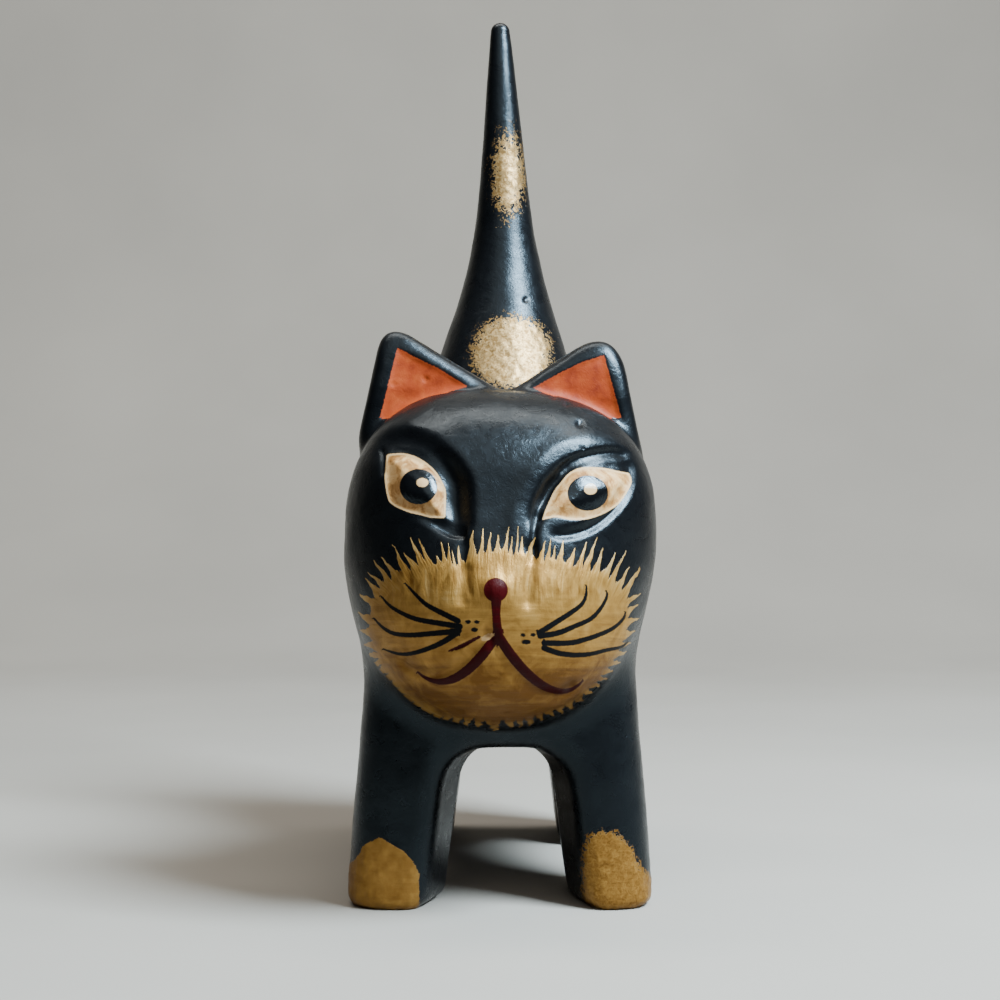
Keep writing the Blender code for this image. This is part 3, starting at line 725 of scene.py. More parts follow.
def lens_distances(d, side):
    """For points on the drawing: distance outside the eye's almond, height above its long axis, and the
    share of the way along that axis, from -1 at the inner corner to 1 at the outer one."""
    inner, outer = on_face(EYE_INNER_CORNERS[side]), on_face(EYE_OUTER_CORNERS[side])
    length = np.linalg.norm(outer - inner)
    along = (outer - inner) / length
    up = np.array([-along[1], along[0]]) if side else np.array([along[1], -along[0]])
    across = (d - inner) @ along - length / 2
    height = (d - inner) @ up
    edges = []
    for rise, direction in ((on_face(EYE_RISES[side]), 1), (on_face(EYE_DROPS[side]), -1)):
        radius = (length**2 / 4 + rise**2) / (2 * rise)
        edges.append(np.hypot(across, height * direction + radius - rise) - radius)
    return rounded_max(edges[0], edges[1], EYE_RIM_WIDTH), height, 2 * across / length


def eye_relief(d, side):
    """How deep the eye is cut: a rim, a deep socket above it, a brow and a lower lid that stand out."""
    outside, height, share = eye_distances(d, side)
    over = smooth_step(*LID_TURNS, height)
    outward = smooth_step(*SOCKET_SHALLOWS, share)
    hollow = SOCKET_DEPTH * (1 - (1 - SOCKET_SHALLOW) * outward) * (1 - SOCKET_SHALLOWER[side] * outward)
    depth = EYE_RIM_DEPTH * over * bump(outside, EYE_RIM_WIDTH)
    depth = depth - EYE_BULGE * smooth_step(0.0, EYE_BULGE_WIDTH, -outside)
    wall = bump(outside - SOCKET_OFFSET * SOCKET_NARROW[side], SOCKET_WIDTH * SOCKET_NARROW[side])
    depth = depth + hollow * smooth_step(*SOCKET_FADES[side], height) * wall
    return depth - BROW_HEIGHT * over * bump(outside - BROW_OFFSET, BROW_WIDTH)


def face_relief(d):
    """How deep the face is cut at points on the drawing. What stands out is less than zero."""
    depth = eye_relief(d, 0) + eye_relief(d, 1)
    from_nose = d - on_face(NOSE_TIP)
    depth = depth - NOSE_HEIGHT * bump(np.linalg.norm(from_nose, axis=1), NOSE_RADIUS)
    low, high = on_face((NOSE_SIDE_LOW, NOSE_SIDE_HIGH))
    beside_nose = bump(np.abs(from_nose[:, 0]) - on_face(NOSE_SIDE_X), NOSE_SIDE_WIDTH)
    beside_nose = beside_nose * smooth_step(low - NOSE_SIDE_FADE, low, d[:, 1])
    beside_nose = beside_nose * (1 - smooth_step(high, high + NOSE_SIDE_FADE, d[:, 1]))
    depth = depth + NOSE_SIDE_DEPTH * beside_nose
    for curve in MOUTH_CURVES:
        depth = depth + MOUTH_DEPTH * bump(beside_line(d, bezier(on_face(curve)))[0], MOUTH_WIDTH)
    return depth


def head_form(p):
    """The head with its ears, and with the face cut into its front."""
    x, y, z = to_head(p)
    form = head_block(x, y, z)
    facing = y < 0
    forward = -y[facing] / FACE_DEPTH
    carved = smooth_step(FACE_CARVED_FROM, FACE_CARVED_FULLY_FROM, forward)
    form[facing] += carved * face_relief(to_drawing(p[facing]))
    for side in (0, 1):
        form = rounded_min(form, ear_form(x, y, z, side), EAR_JOIN)
    return form


def carved_form(p):
    """About how far each point is outside the cat: less than zero inside, zero on its surface."""
    trunk = rounded_min(body_form(p), tail_form(p), TAIL_JOIN)
    return rounded_min(trunk, head_form(p), HEAD_JOIN)


def on_drawing(p):
    """Where points of the form fall on the drawing, in its pixels."""
    scale = LAYOUT_DISTANCE / (LAYOUT_DISTANCE + p[:, 1]) / PIXEL
    across = DRAWING_MIDDLE + p[:, 0] * scale
    down = DRAWING_MIDDLE - (p[:, 2] - LAYOUT_HEIGHT) * scale
    return np.stack([across, down], axis=1)


def bezier(control):
    """A curve given by its four control points."""
    t = np.linspace(0, 1, CURVE_POINTS)[:, None]
    a, b, c, e = (np.array(point, float) for point in control)
    return a * (1 - t) ** 3 + 3 * b * t * (1 - t) ** 2 + 3 * c * t**2 * (1 - t) + e * t**3


def through(points):
    """A smooth line through points, with some more points between each two of them."""
    points = np.array(points, float)
    first, last = 2 * points[0] - points[1], 2 * points[-1] - points[-2]
    padded = np.vstack([first, points, last])
    line = []
    for before, start, end, after in zip(padded, padded[1:], padded[2:], padded[3:]):
        for t in np.arange(LINE_STEPS) / LINE_STEPS:
            bend = 2 * before - 5 * start + 4 * end - after + t * (3 * start - before - 3 * end + after)
            line.append(start + t / 2 * (end - before + t * bend))
    return np.vstack([line, points[-1:]])


def beside_line(q, line):
    """For each drawn point: distance to a line, which side it is on with the distance across, and the share
    of the way along."""
    nearest = np.full(len(q), FAR * FAR)
    across, share = np.full(len(q), FAR), np.zeros(len(q))
    for number, (start, end) in enumerate(zip(line[:-1], line[1:], strict=True)):
        step = end - start
        offset = q - start
        t = np.clip(offset @ step / (step @ step), 0, 1)
        distance = np.linalg.norm(offset - t[:, None] * step, axis=1)
        closer = distance < nearest
        nearest[closer] = distance[closer]
        side = (step[0] * offset[:, 1] - step[1] * offset[:, 0]) / np.linalg.norm(step)
        across[closer] = side[closer]
        share[closer] = ((number + t) / (len(line) - 1))[closer]
    return nearest, across, share


def outside_outline(q, outline):
    """For each drawn point: its distance to a closed outline, less than zero inside."""
    closed = np.vstack([outline, outline[:1]])
    nearest = beside_line(q, closed)[0]
    inside = np.zeros(len(q), bool)
    for (x0, y0), (x1, y1) in zip(closed[:-1], closed[1:], strict=True):
        if y0 == y1:
            continue
        crosses = (y0 > q[:, 1]) != (y1 > q[:, 1])
        inside ^= crosses & (q[:, 0] < x0 + (x1 - x0) * (q[:, 1] - y0) / (y1 - y0))
    return np.where(inside, -nearest, nearest)


def outside_oval(q, oval):
    """For each drawn point: about its distance to an oval, less than zero inside."""
    x, y, half_x, half_y = oval
    reach = np.hypot((q[:, 0] - x) / half_x, (q[:, 1] - y) / half_y)
    return (reach - 1) * min(half_x, half_y)


def near(q, points, margin):
    """Which drawn points are within a margin of the box around some points."""
    low, high = np.min(points, axis=0) - margin, np.max(points, axis=0) + margin
    return ((q > low) & (q < high)).all(axis=1)


def outside_all(q, measure, shapes):
    """The least distance to several shapes: outlines, or ovals that are each a middle and two half sizes."""
    least = np.full(len(q), FAR)
    for shape in shapes:
        points = shape
        if measure is outside_oval:
            points = [(shape[0] - shape[2], shape[1] - shape[3]), (shape[0] + shape[2], shape[1] + shape[3])]
        close = near(q, points, SHAPE_REACH)
        least[close] = np.minimum(least[close], measure(q[close], shape))
    return least


def eye_outline(side):
    upper, lower = EYE_EDGES[side]
    return np.vstack([through(upper)[:-1], through(lower)[:-1]])


EYE_OUTLINES = [eye_outline(side) for side in (0, 1)]
RED_OUTLINES = [np.array(points, float) for points in EAR_REDS]
TOE_OUTLINES = [np.array(points, float) for points in TOES]


def strokes(q, lines, widths):
    """For several painted lines: distance outside them, distance across them and half their width there."""
    outside = np.full(len(q), FAR)
    across, half = np.full(len(q), FAR), np.zeros(len(q))
    for line, line_widths in zip(lines, widths, strict=True):
        close = np.flatnonzero(near(q, line, LINE_REACH))
        distance, side, share = beside_line(q[close], line)
        half_here = np.interp(share, np.linspace(0, 1, len(line_widths)), line_widths) / 2
        closer = distance - half_here < outside[close]
        chosen = close[closer]
        outside[chosen] = (distance - half_here)[closer]
        # Past an end of the line the side says nothing, so the distance takes its place.
        side = np.where(distance > np.abs(side) + PAST_END, distance, side)
        across[chosen], half[chosen] = side[closer], half_here[closer]
    return outside, across, half


def muzzle_fields(q):
    """For each drawn point: how far down the gold's brush strokes it is, from 0 at their tips to 1 at their
    bases and more inside, and a count across the strokes, which is a half on the middle of each."""
    right, left = (np.array(spikes, float) for spikes in MUZZLE_SPIKES)
    ring = np.vstack([right, left[::-1]])
    tips, bases = ring[:, :2], ring[:, 2:]
    outward = tips - bases
    lengths = np.linalg.norm(outward, axis=1)
    outward /= lengths[:, None]
    clockwise = np.stack([-outward[:, 1], outward[:, 0]], axis=1)
    down = np.where(outside_oval(q, MUZZLE_CORE) < 0, DEEPEST_INSIDE, PAST_TIPS)
    count = np.zeros(len(q))
    nearest = np.full(len(q), np.inf)
    for this in range(len(ring)):
        that = (this + 1) % len(ring)
        close = np.flatnonzero(near(q, ring[[this, this, that, that], :].reshape(-1, 2), SPIKE_MARGIN))
        here = q[close]
        before = (here - tips[this]) @ clockwise[this]
        after = (here - tips[that]) @ clockwise[that]
        distance = np.linalg.norm(here - (bases[this] + bases[that]) / 2, axis=1)
        chosen = (before >= 0) & (after < 0) & (distance < nearest[close])
        close, here, before, after = close[chosen], here[chosen], before[chosen], after[chosen]
        share = before / (before - after)
        from_this = (tips[this] - here) @ outward[this] / lengths[this]
        from_that = (tips[that] - here) @ outward[that] / lengths[that]
        down[close] = from_this * (1 - share) + from_that * share
        count[close] = this + 0.5 + share
        nearest[close] = distance[chosen]
    # Both sides count up from the top, so that the count has no step where they meet.
    half = len(ring) / 2
    count = half - np.abs(count % len(ring) - half)
    return np.clip(down, PAST_TIPS, DEEPEST_INSIDE), count


def lattice_noise(p, length, seed=0.0):
    """Smooth noise between about -1 and 1 at points, over some length."""
    shift = Vector((seed, 2 * seed, 3 * seed))
    return np.array([noise.noise(Vector(point) + shift) for point in (p / length).tolist()])


def eye_distances(d, side):
    """As for the plain solid, but with the painted outline of the eye."""
    outside, height, share = lens_distances(d, side)
    x, z = turned(*d.T, -HEAD_ROLL)
    middle_down = DRAWING_MIDDLE - (LAYOUT_MIDDLE_HEIGHT - LAYOUT_HEIGHT) / PIXEL
    q = np.stack([DRAWING_MIDDLE + x / PIXEL, middle_down - z / PIXEL], axis=1)
    close = near(q, EYE_OUTLINES[side], EYE_REACH)
    outside[close] = outside_outline(q[close], EYE_OUTLINES[side]) * PIXEL
    return outside, height, share


def fading(share, fades):
    """0 at both ends of a line and 1 between two shares of its length."""
    return smooth_step(0.0, fades[0], share) * (1 - smooth_step(fades[1], 1.0, share))


def lid_groove(q, line, depths):
    """How deep the hollow over a lid is: a steep wall along the line, and a gentle rise up to the eye."""
    depth = np.zeros(len(q))
    close = np.flatnonzero(near(q, line, LINE_REACH))
    distance, side, share = beside_line(q[close], line)
    above = np.where(side > 0, -distance, distance) * PIXEL
    profile = np.clip(above / LID_WALL + 0.5, 0.0, 1.0)
    profile = profile * (1 - smooth_step(LID_WALL / 2, LID_GROOVE_WIDTH, above))
    deep = np.interp(share, np.linspace(0, 1, len(depths)), depths)
    depth[close] = profile * deep * fading(share, LID_FADES)
    return depth


def drawn_ridges(q, stretch, seed):
    return lattice_noise(np.column_stack([q * stretch, np.zeros(len(q))]), 1.0, seed)


def gold_relief(q):
    """How deep the gold muzzle is: it stands out, in ridges that its brush left."""
    down, _ = muzzle_fields(q)
    high = smooth_step(*UPRIGHT_RIDGES_RISE, MUZZLE_TOP - q[:, 1])
    upright = UPRIGHT_RIDGE_HEIGHT * high * drawn_ridges(q, UPRIGHT_RIDGES, UPRIGHT_RIDGE_SEED)
    level = LEVEL_RIDGE_HEIGHT * (1 - high) * drawn_ridges(q, LEVEL_RIDGES, LEVEL_RIDGE_SEED)
    return -smooth_step(*GOLD_EDGE, down) * (GOLD_THICKNESS + upright + level)


def face_details(q, before_ears):
    """How deep the face and the ears' fronts are cut, or how far their paint stands out."""
    relief = NOSE_INSET * bump(np.linalg.norm(q - np.array(NOSE_BALL[:2]), axis=1), NOSE_INSET_RADIUS)
    for points, cut, half_width in CUTS:
        line = through(points)
        close = near(q, line, GROOVE_REACH * half_width / PIXEL)
        distance, _, share = beside_line(q[close], line)
        relief[close] += cut * fading(share, CUT_FADES) * bump(distance * PIXEL, half_width)
    for line, depths in zip(LID_LINES, LID_GROOVE_DEPTHS, strict=True):
        relief += lid_groove(q, through(line), depths)
    red = np.maximum(outside_all(q, outside_outline, RED_OUTLINES), before_ears / PIXEL)
    relief += RED_RECESS * smooth_step(*RED_EDGE, -red)
    relief += EYE_STEP * smooth_step(*EYE_EDGE, -outside_all(q, outside_outline, EYE_OUTLINES))
    relief -= GOLD_THICKNESS * smooth_step(*MAROON_EDGE, -maroon_fields(q)[0])
    return relief + gold_relief(q)


def fine_relief(p):
    """How deep the points of the form are cut by the knife, or how far the paint stands out."""
    q = on_drawing(p)
    depth = SKIN_INSET + KNIFE_HEIGHT * lattice_noise(p, KNIFE_LENGTH)
    depth += BRUSH_HEIGHT * lattice_noise(p, BRUSH_LENGTH, BRUSH_SEED)
    behind, before_ears = behind_face(p)
    face = np.flatnonzero(behind < 0)
    depth[face] += face_details(q[face], before_ears[face]) * smooth_step(0.0, RELIEF_FADE, -behind[face])
    behind_tail, _ = behind_dabs(p)
    for x, y, radius, cut in PITS:
        distance = np.hypot(q[:, 0] - x, q[:, 1] - y)
        depth += cut * bump(distance, radius) * ((behind_tail if y < TAIL_PITS_ABOVE else behind) < 0)
    dabbed = smooth_step(*DAB_EDGE, -np.minimum(*dab_fields(p, q)))
    some = np.flatnonzero(dabbed > 0)
    dabs = np.maximum(lattice_noise(p[some], STIPPLE_LENGTH, STIPPLE_SEED), STIPPLE_FLOOR)
    depth[some] -= dabbed[some] * (GOLD_THICKNESS + STIPPLE_HEIGHT * dabs)
    return depth


def maroon_fields(q):
    lines = [through(NOSE_STEM)] + [bezier(control) for control in MOUTH_LINES]
    return strokes(q, lines, [NOSE_STEM_WIDTHS, MOUTH_LINE_WIDTHS, MOUTH_LINE_WIDTHS])


def behind_face(p):
    """How far points of the form are behind the painted part of the head: its face and the ears' fronts."""
    _, y, z = p.T
    behind_cheeks = y - HEAD_MIDDLE_Y - PAINT_PAST_MIDDLE
    ear_front = HEAD_MIDDLE_Y + EAR_FRONT_Y + EAR_LEAN_BACK * np.maximum(z - EAR_LEAN_HEIGHT, 0)
    above_crown = z > HEAD_MIDDLE_HEIGHT + CROWN_HEIGHT
    return np.where(above_crown, y - ear_front - PAINT_PAST_EARS, behind_cheeks), ear_front - RED_STARTS - y


def behind_dabs(p):
    """How far points of the form are behind the front of the tail, and behind the front of the toes."""
    _, y, z = p.T
    _, middle_y, radius = tail_axis(z)
    on_tail = (z > TAIL_PAINT_HEIGHT) & (y > TAIL_PAINT_Y)
    behind_tail = np.where(on_tail, y - middle_y + TAIL_PAINT_SHARE * radius, FAR)
    return behind_tail, np.where(z < TOE_PAINT_HEIGHT, y - TOE_PAINT_Y, FAR)


def dab_fields(p, q):
    """Distances outside the tail's spots and outside the gold toes, in pixels of the drawing."""
    behind_tail, behind_toes = behind_dabs(p)
    spots = np.maximum(outside_all(q, outside_oval, TAIL_SPOTS), behind_tail / PIXEL)
    return spots, np.maximum(outside_all(q, outside_outline, TOE_OUTLINES), behind_toes / PIXEL)


def paint_fields(p):
    """What the paint needs to know at each point: distances on the drawing in pixels, less than zero inside
    a painted shape, and the strokes' own measures."""
    q = on_drawing(p)
    behind, before_ears = (distance / PIXEL for distance in behind_face(p))
    spots, toes = dab_fields(p, q)
    down, count = muzzle_fields(q)
    from_chip = np.stack(turned(*(q - np.array(CHIP[:2])).T, -CHIP_TURN), axis=1)
    fields = {
        "muzzle_down": np.minimum(down, -behind / MUZZLE_FADE),
        "muzzle_count": count,
        "drawn_x": q[:, 0],
        "drawn_y": q[:, 1],
        "spots": spots,
        "toes": toes,
    }
    # Neighbouring whiskers have fields of their own, as they nearly touch.
    odd, even = (
        strokes(q, [through(points) for points in some], [WHISKER_WIDTHS] * len(some))
        for some in (WHISKERS[::2], WHISKERS[1::2])
    )
    on_face_only = {
        "reds": np.maximum(outside_all(q, outside_outline, RED_OUTLINES), before_ears),
        "eyes": outside_all(q, outside_outline, EYE_OUTLINES),
        "pupils": outside_all(q, outside_oval, PUPILS),
        "glints": outside_all(q, outside_oval, GLINTS),
        "freckles": outside_all(q, outside_oval, FRECKLES),
        "ball": outside_oval(q, NOSE_BALL),
        "chip": outside_oval(from_chip, (0, 0, *CHIP[2:])),
        # The dark line along the cut by the chip is painted shade of the carved groove.
        "cut_shade": strokes(q, [through(CHIP_CUT)], [CUT_SHADE_WIDTHS])[0],
    }
    for name, (outside, across, half) in (("maroon", maroon_fields(q)), ("odd", odd), ("even", even)):
        on_face_only[name] = outside
        fields[name + "_across"], fields[name + "_half"] = across, half
    for name, distance in on_face_only.items():
        fields[name] = np.maximum(distance, behind)
    return fields


def points_of(mesh):
    points = np.empty(len(mesh.vertices) * 3)
    mesh.vertices.foreach_get("co", points)
    return points.reshape(-1, 3)


def put_points(mesh, points):
    mesh.vertices.foreach_set("co", points.ravel())
    mesh.update()


def work_in(obj, kind, **settings):
    """Adds one modifier and works it into the object's mesh."""
    modifier = obj.modifiers.new(kind.title(), kind)
    for name, value in settings.items():
        setattr(modifier, name, value)
    graph = bpy.context.evaluated_depsgraph_get()
    before = obj.data
    after = bpy.data.meshes.new_from_object(obj.evaluated_get(graph))
    obj.modifiers.clear()
    obj.data = after
    bpy.data.meshes.remove(before)


def carve(mesh, shift):
    """Moves every point of the mesh along the steepest way onto the carved surface."""
    points = points_of(mesh) + shift
    for _ in range(SURFACE_STEPS):
        value = carved_form(points)
        rises = [carved_form(points + step) - value for step in np.eye(3) * GRADIENT_STEP]
        slope = np.stack(rises, axis=1) / GRADIENT_STEP
        steepness = np.maximum(np.linalg.norm(slope, axis=1), LEAST_SLOPE)
        move = slope * (value / steepness**2)[:, None]
        length = np.linalg.norm(move, axis=1)
        points = points - move * (LONGEST_MOVE / np.maximum(length, LONGEST_MOVE))[:, None]
    put_points(mesh, points - shift)


def lay_relief(mesh, shift):
    """Presses the fine relief into the mesh along its normals."""
    normals = np.empty(len(mesh.vertices) * 3)
    mesh.vertices.foreach_get("normal", normals)
    points = points_of(mesh)
    depth = fine_relief(points + shift)
    put_points(mesh, points - normals.reshape(-1, 3) * depth[:, None])


def cut_soles(mesh):
    """Cuts the feet off flat on the ground and closes the soles."""
    work = bmesh.new()
    work.from_mesh(mesh)
    geometry = work.verts[:] + work.edges[:] + work.faces[:]
    bmesh.ops.bisect_plane(
        work, geom=geometry, dist=1e-6, plane_co=(0, 0, 0), plane_no=(0, 0, -1), clear_outer=True
    )
    rims = [edge for edge in work.edges if edge.is_boundary]
    filled = bmesh.ops.holes_fill(work, edges=rims)["faces"]
    bmesh.ops.triangulate(work, faces=filled)
    work.to_mesh(mesh)
    work.free()


def spare_plain_wood(obj, shift):
    """Marks where the skin may be made of larger triangles: plain black wood most, the face least."""
    points = points_of(obj.data) + shift
    q = on_drawing(points)
    down, _ = muzzle_fields(q)
    painted = outside_all(q, outside_outline, RED_OUTLINES + EYE_OUTLINES) < SPARED_MARGIN
    painted |= down > SPARED_PAST_TIPS
    painted &= behind_face(points)[0] / PIXEL < SPARED_MARGIN / 2
    painted |= np.minimum(*dab_fields(points, q)) < SPARED_MARGIN
    plain = obj.vertex_groups.new(name="plain")
    plain.add(np.flatnonzero(~painted).tolist(), 1.0, "REPLACE")
    plain.add(np.flatnonzero(painted).tolist(), SPARED_WEIGHT, "REPLACE")


def make_cat():
    """The cat's fine skin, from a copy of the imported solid."""
    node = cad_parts["cat"]
    cat = bpy.data.objects.new("carved_cat", node.data.copy())
    bpy.context.scene.collection.objects.link(cat)
    foreleg_y = CAD_BOX[0][1] + MUZZLE_REACH
    shift = np.array([0.0, -foreleg_y, 0.0])
    cat.data.transform(Matrix.Translation((0, 0, -SOLE_DEPTH)))
    work_in(cat, "REMESH", mode="VOXEL", voxel_size=SKIN_STEP)
    work_in(cat, "SMOOTH", factor=SMOOTHING, iterations=SMOOTHING_COUNT)
    carve(cat.data, shift)
    lay_relief(cat.data, shift)
    spare_plain_wood(cat, shift)
    triangles = sum(len(face.vertices) - 2 for face in cat.data.polygons)
    work_in(cat, "DECIMATE", ratio=SKIN_BUDGET / triangles, vertex_group="plain", vertex_group_factor=1.0)
    cut_soles(cat.data)
    for name, values in paint_fields(points_of(cat.data) + shift).items():
        cat.data.attributes.new(name, "FLOAT", "POINT").data.foreach_set("value", values.astype(np.float32))
    cat.data.materials.clear()
    cat.data.materials.append(painted_wood())
    cat.data.shade_smooth()
    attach(cat, "root")
    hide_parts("cat")


class Paint:
    """Builds one material's nodes. Each method adds a node and gives its output."""

    def __init__(self, name):
        self.material = bpy.data.materials.new(name)
        self.material.use_nodes = True
        self.tree = self.material.node_tree
        self.shader = self.tree.nodes["Principled BSDF"]

    def add(self, kind, inputs=None, **settings):
        made = self.tree.nodes.new(kind)
        for name, value in settings.items():
            setattr(made, name, value)
        for name, value in (inputs or {}).items():
            self.set(made.inputs[name], value)
        return made

    def set(self, socket, value):
        if isinstance(value, bpy.types.NodeSocket):
            self.tree.links.new(value, socket)
        else:
            socket.default_value = value

    def field(self, name):
        return self.add("ShaderNodeAttribute", attribute_name=name).outputs["Fac"]

    def maths(self, operation, *values, clamp=False):
        made = self.add("ShaderNodeMath", operation=operation, use_clamp=clamp)
        for socket, value in zip(made.inputs, values):
            self.set(socket, value)
        return made.outputs[0]

    def plus(self, a, b):
        return self.maths("ADD", a, b)

    def minus(self, a, b, clamp=False):
        return self.maths("SUBTRACT", a, b, clamp=clamp)

    def times(self, a, b):
        return self.maths("MULTIPLY", a, b)

    def scaled(self, value, factor, further):
        """The value times the factor, and the further value added."""
        return self.maths("MULTIPLY_ADD", value, factor, further)

    def most(self, a, *others):
        for other in others:
            a = self.maths("MAXIMUM", a, other)
        return a

    def where(self, edge, softness=0.35):
        """1 where a distance is less than zero, with an edge as soft as some pixels of the drawing."""
        return self.ramp(edge, softness, -softness)

    def ramp(self, value, low, high):
        """From 0 at low to 1 at high."""
        made = self.add("ShaderNodeMapRange", {"Value": value, "From Min": low, "From Max": high})
        return made.outputs["Result"]

    def between(self, kind, first, result, share, a, b):
        made = self.add("ShaderNodeMix", data_type=kind)
        for socket, value in ((0, share), (first, a), (first + 1, b)):
            self.set(made.inputs[socket], value)
        return made.outputs[result]

    def mix(self, share, a, b):
        """Between two colours."""
        return self.between("RGBA", 6, 2, share, a, b)

    def blend(self, share, a, b):
        """Between two numbers."""
        return self.between("FLOAT", 2, 0, share, a, b)

    def tones(self, value, colours, ramps):
        """One colour after another as a value rises, with the ramp over which each gives way."""
        colour = colours[0]
        for lighter, ramp in zip(colours[1:], ramps, strict=True):
            colour = self.mix(self.ramp(value, *ramp), colour, lighter)
        return colour

    def stretched(self, x, y, shares):
        """A place on the drawing for noise, stretched by a share of each measure."""
        inputs = {"X": self.times(x, shares[0]), "Y": self.times(y, shares[1])}
        return self.add("ShaderNodeCombineXYZ", inputs).outputs[0]

    def place(self):
        return self.add("ShaderNodeTexCoord").outputs["Object"]

    def noise(self, vector, scale, detail, roughness=0.5, distortion=0.0):
        made = self.add("ShaderNodeTexNoise", noise_dimensions="3D", noise_type="FBM")
        names = ("Vector", "Scale", "Detail", "Roughness", "Distortion")
        for name, value in zip(names, (vector, scale, detail, roughness, distortion), strict=True):
            self.set(made.inputs[name], value)
        return made.outputs["Fac"]


def gold_muzzle(paint, place):
    """1 in the gold of the muzzle: brush strokes that end in slender points all round."""
    down, count = paint.field("muzzle_down"), paint.field("muzzle_count")
    sway = paint.minus(paint.noise(place, *SWAY_NOISE), 0.5)
    low = paint.ramp(paint.field("drawn_y"), *LOW_STROKES)
    swayed = paint.scaled(sway, paint.blend(low, *STROKE_SWAYS), count)
    across = paint.maths("ABSOLUTE", paint.minus(paint.maths("FRACT", swayed), 0.5))
    blunt = paint.times(low, paint.ramp(paint.field("drawn_x"), *BLUNT_STROKES))
    broad = paint.scaled(blunt, BLUNTNESS, paint.blend(low, *STROKE_WIDTHS))
    width = paint.minus(broad, paint.times(across, 2.0), clamp=True)
    hair = paint.noise(paint.stretched(swayed, down, (HAIRS_A_STROKE, 1.0)), *HAIR_NOISE)
    ragged = paint.scaled(hair, RAGGEDNESS, -RAGGEDNESS / 2)
    depth = paint.plus(down, paint.times(ragged, paint.ramp(down, *RAGGED_FROM)))
    point = paint.maths("POWER", width, paint.blend(low, *STROKE_POWERS))
    return paint.ramp(paint.minus(paint.plus(depth, point), 1.0), *STROKE_EDGE), down, swayed


def gold_colour(paint, place, down, count):
    """Ochre gold: light at the tips of the strokes, streaked along them, mottled further in, streaked
    across below, and darker towards the chin as painted shade."""
    right = paint.minus(paint.field("drawn_x"), DRAWING_MIDDLE)
    up = paint.minus(MUZZLE_TOP, paint.field("drawn_y"))
    high = paint.ramp(up, *UPRIGHT_ABOVE)
    along = paint.noise(paint.stretched(count, down, STROKE_STRETCH), *STROKE_NOISE)
    upright = paint.noise(paint.stretched(right, up, UPRIGHT_STRETCH), *UPRIGHT_NOISE)
    level = paint.noise(paint.stretched(right, up, LEVEL_STRETCH), *LEVEL_NOISE)
    streak = paint.blend(high, level, paint.blend(paint.ramp(down, *STROKES_END), along, upright))
    share = paint.blend(high, *STREAK_SHARES)
    patch = paint.times(paint.noise(place, *PATCH_NOISE), PATCH_SHARE)
    tone = paint.plus(paint.times(streak, share), patch)
    tone = paint.plus(tone, paint.times(paint.minus(STREAK_SHARES[1], share), TONE_MIDDLE))
    tip = paint.minus(1.0, paint.ramp(down, *TIPS_END))
    tone = paint.scaled(tip, TIP_LIGHTER, tone)
    # Painted shade: the gold darkens towards the chin.
    tone = paint.minus(tone, paint.times(paint.ramp(up, *CHIN_SHADE_RAMP), CHIN_SHADE_DEPTH))
    return paint.tones(tone, GOLDS, GOLD_RAMPS), streak


def stroke_mask(paint, name, wobble):
    """1 inside painted lines. Their distance across is exact between the mesh's points, and the distance
    outside them keeps it to their own neighbourhood."""
    across = paint.maths("ABSOLUTE", paint.field(name + "_across"))
    edge = paint.minus(across, paint.field(name + "_half"))
    inside = paint.where(paint.scaled(wobble, LINE_WOBBLE, edge))
    return paint.times(inside, paint.where(paint.minus(paint.field(name), STROKE_NEIGHBOURHOOD)))


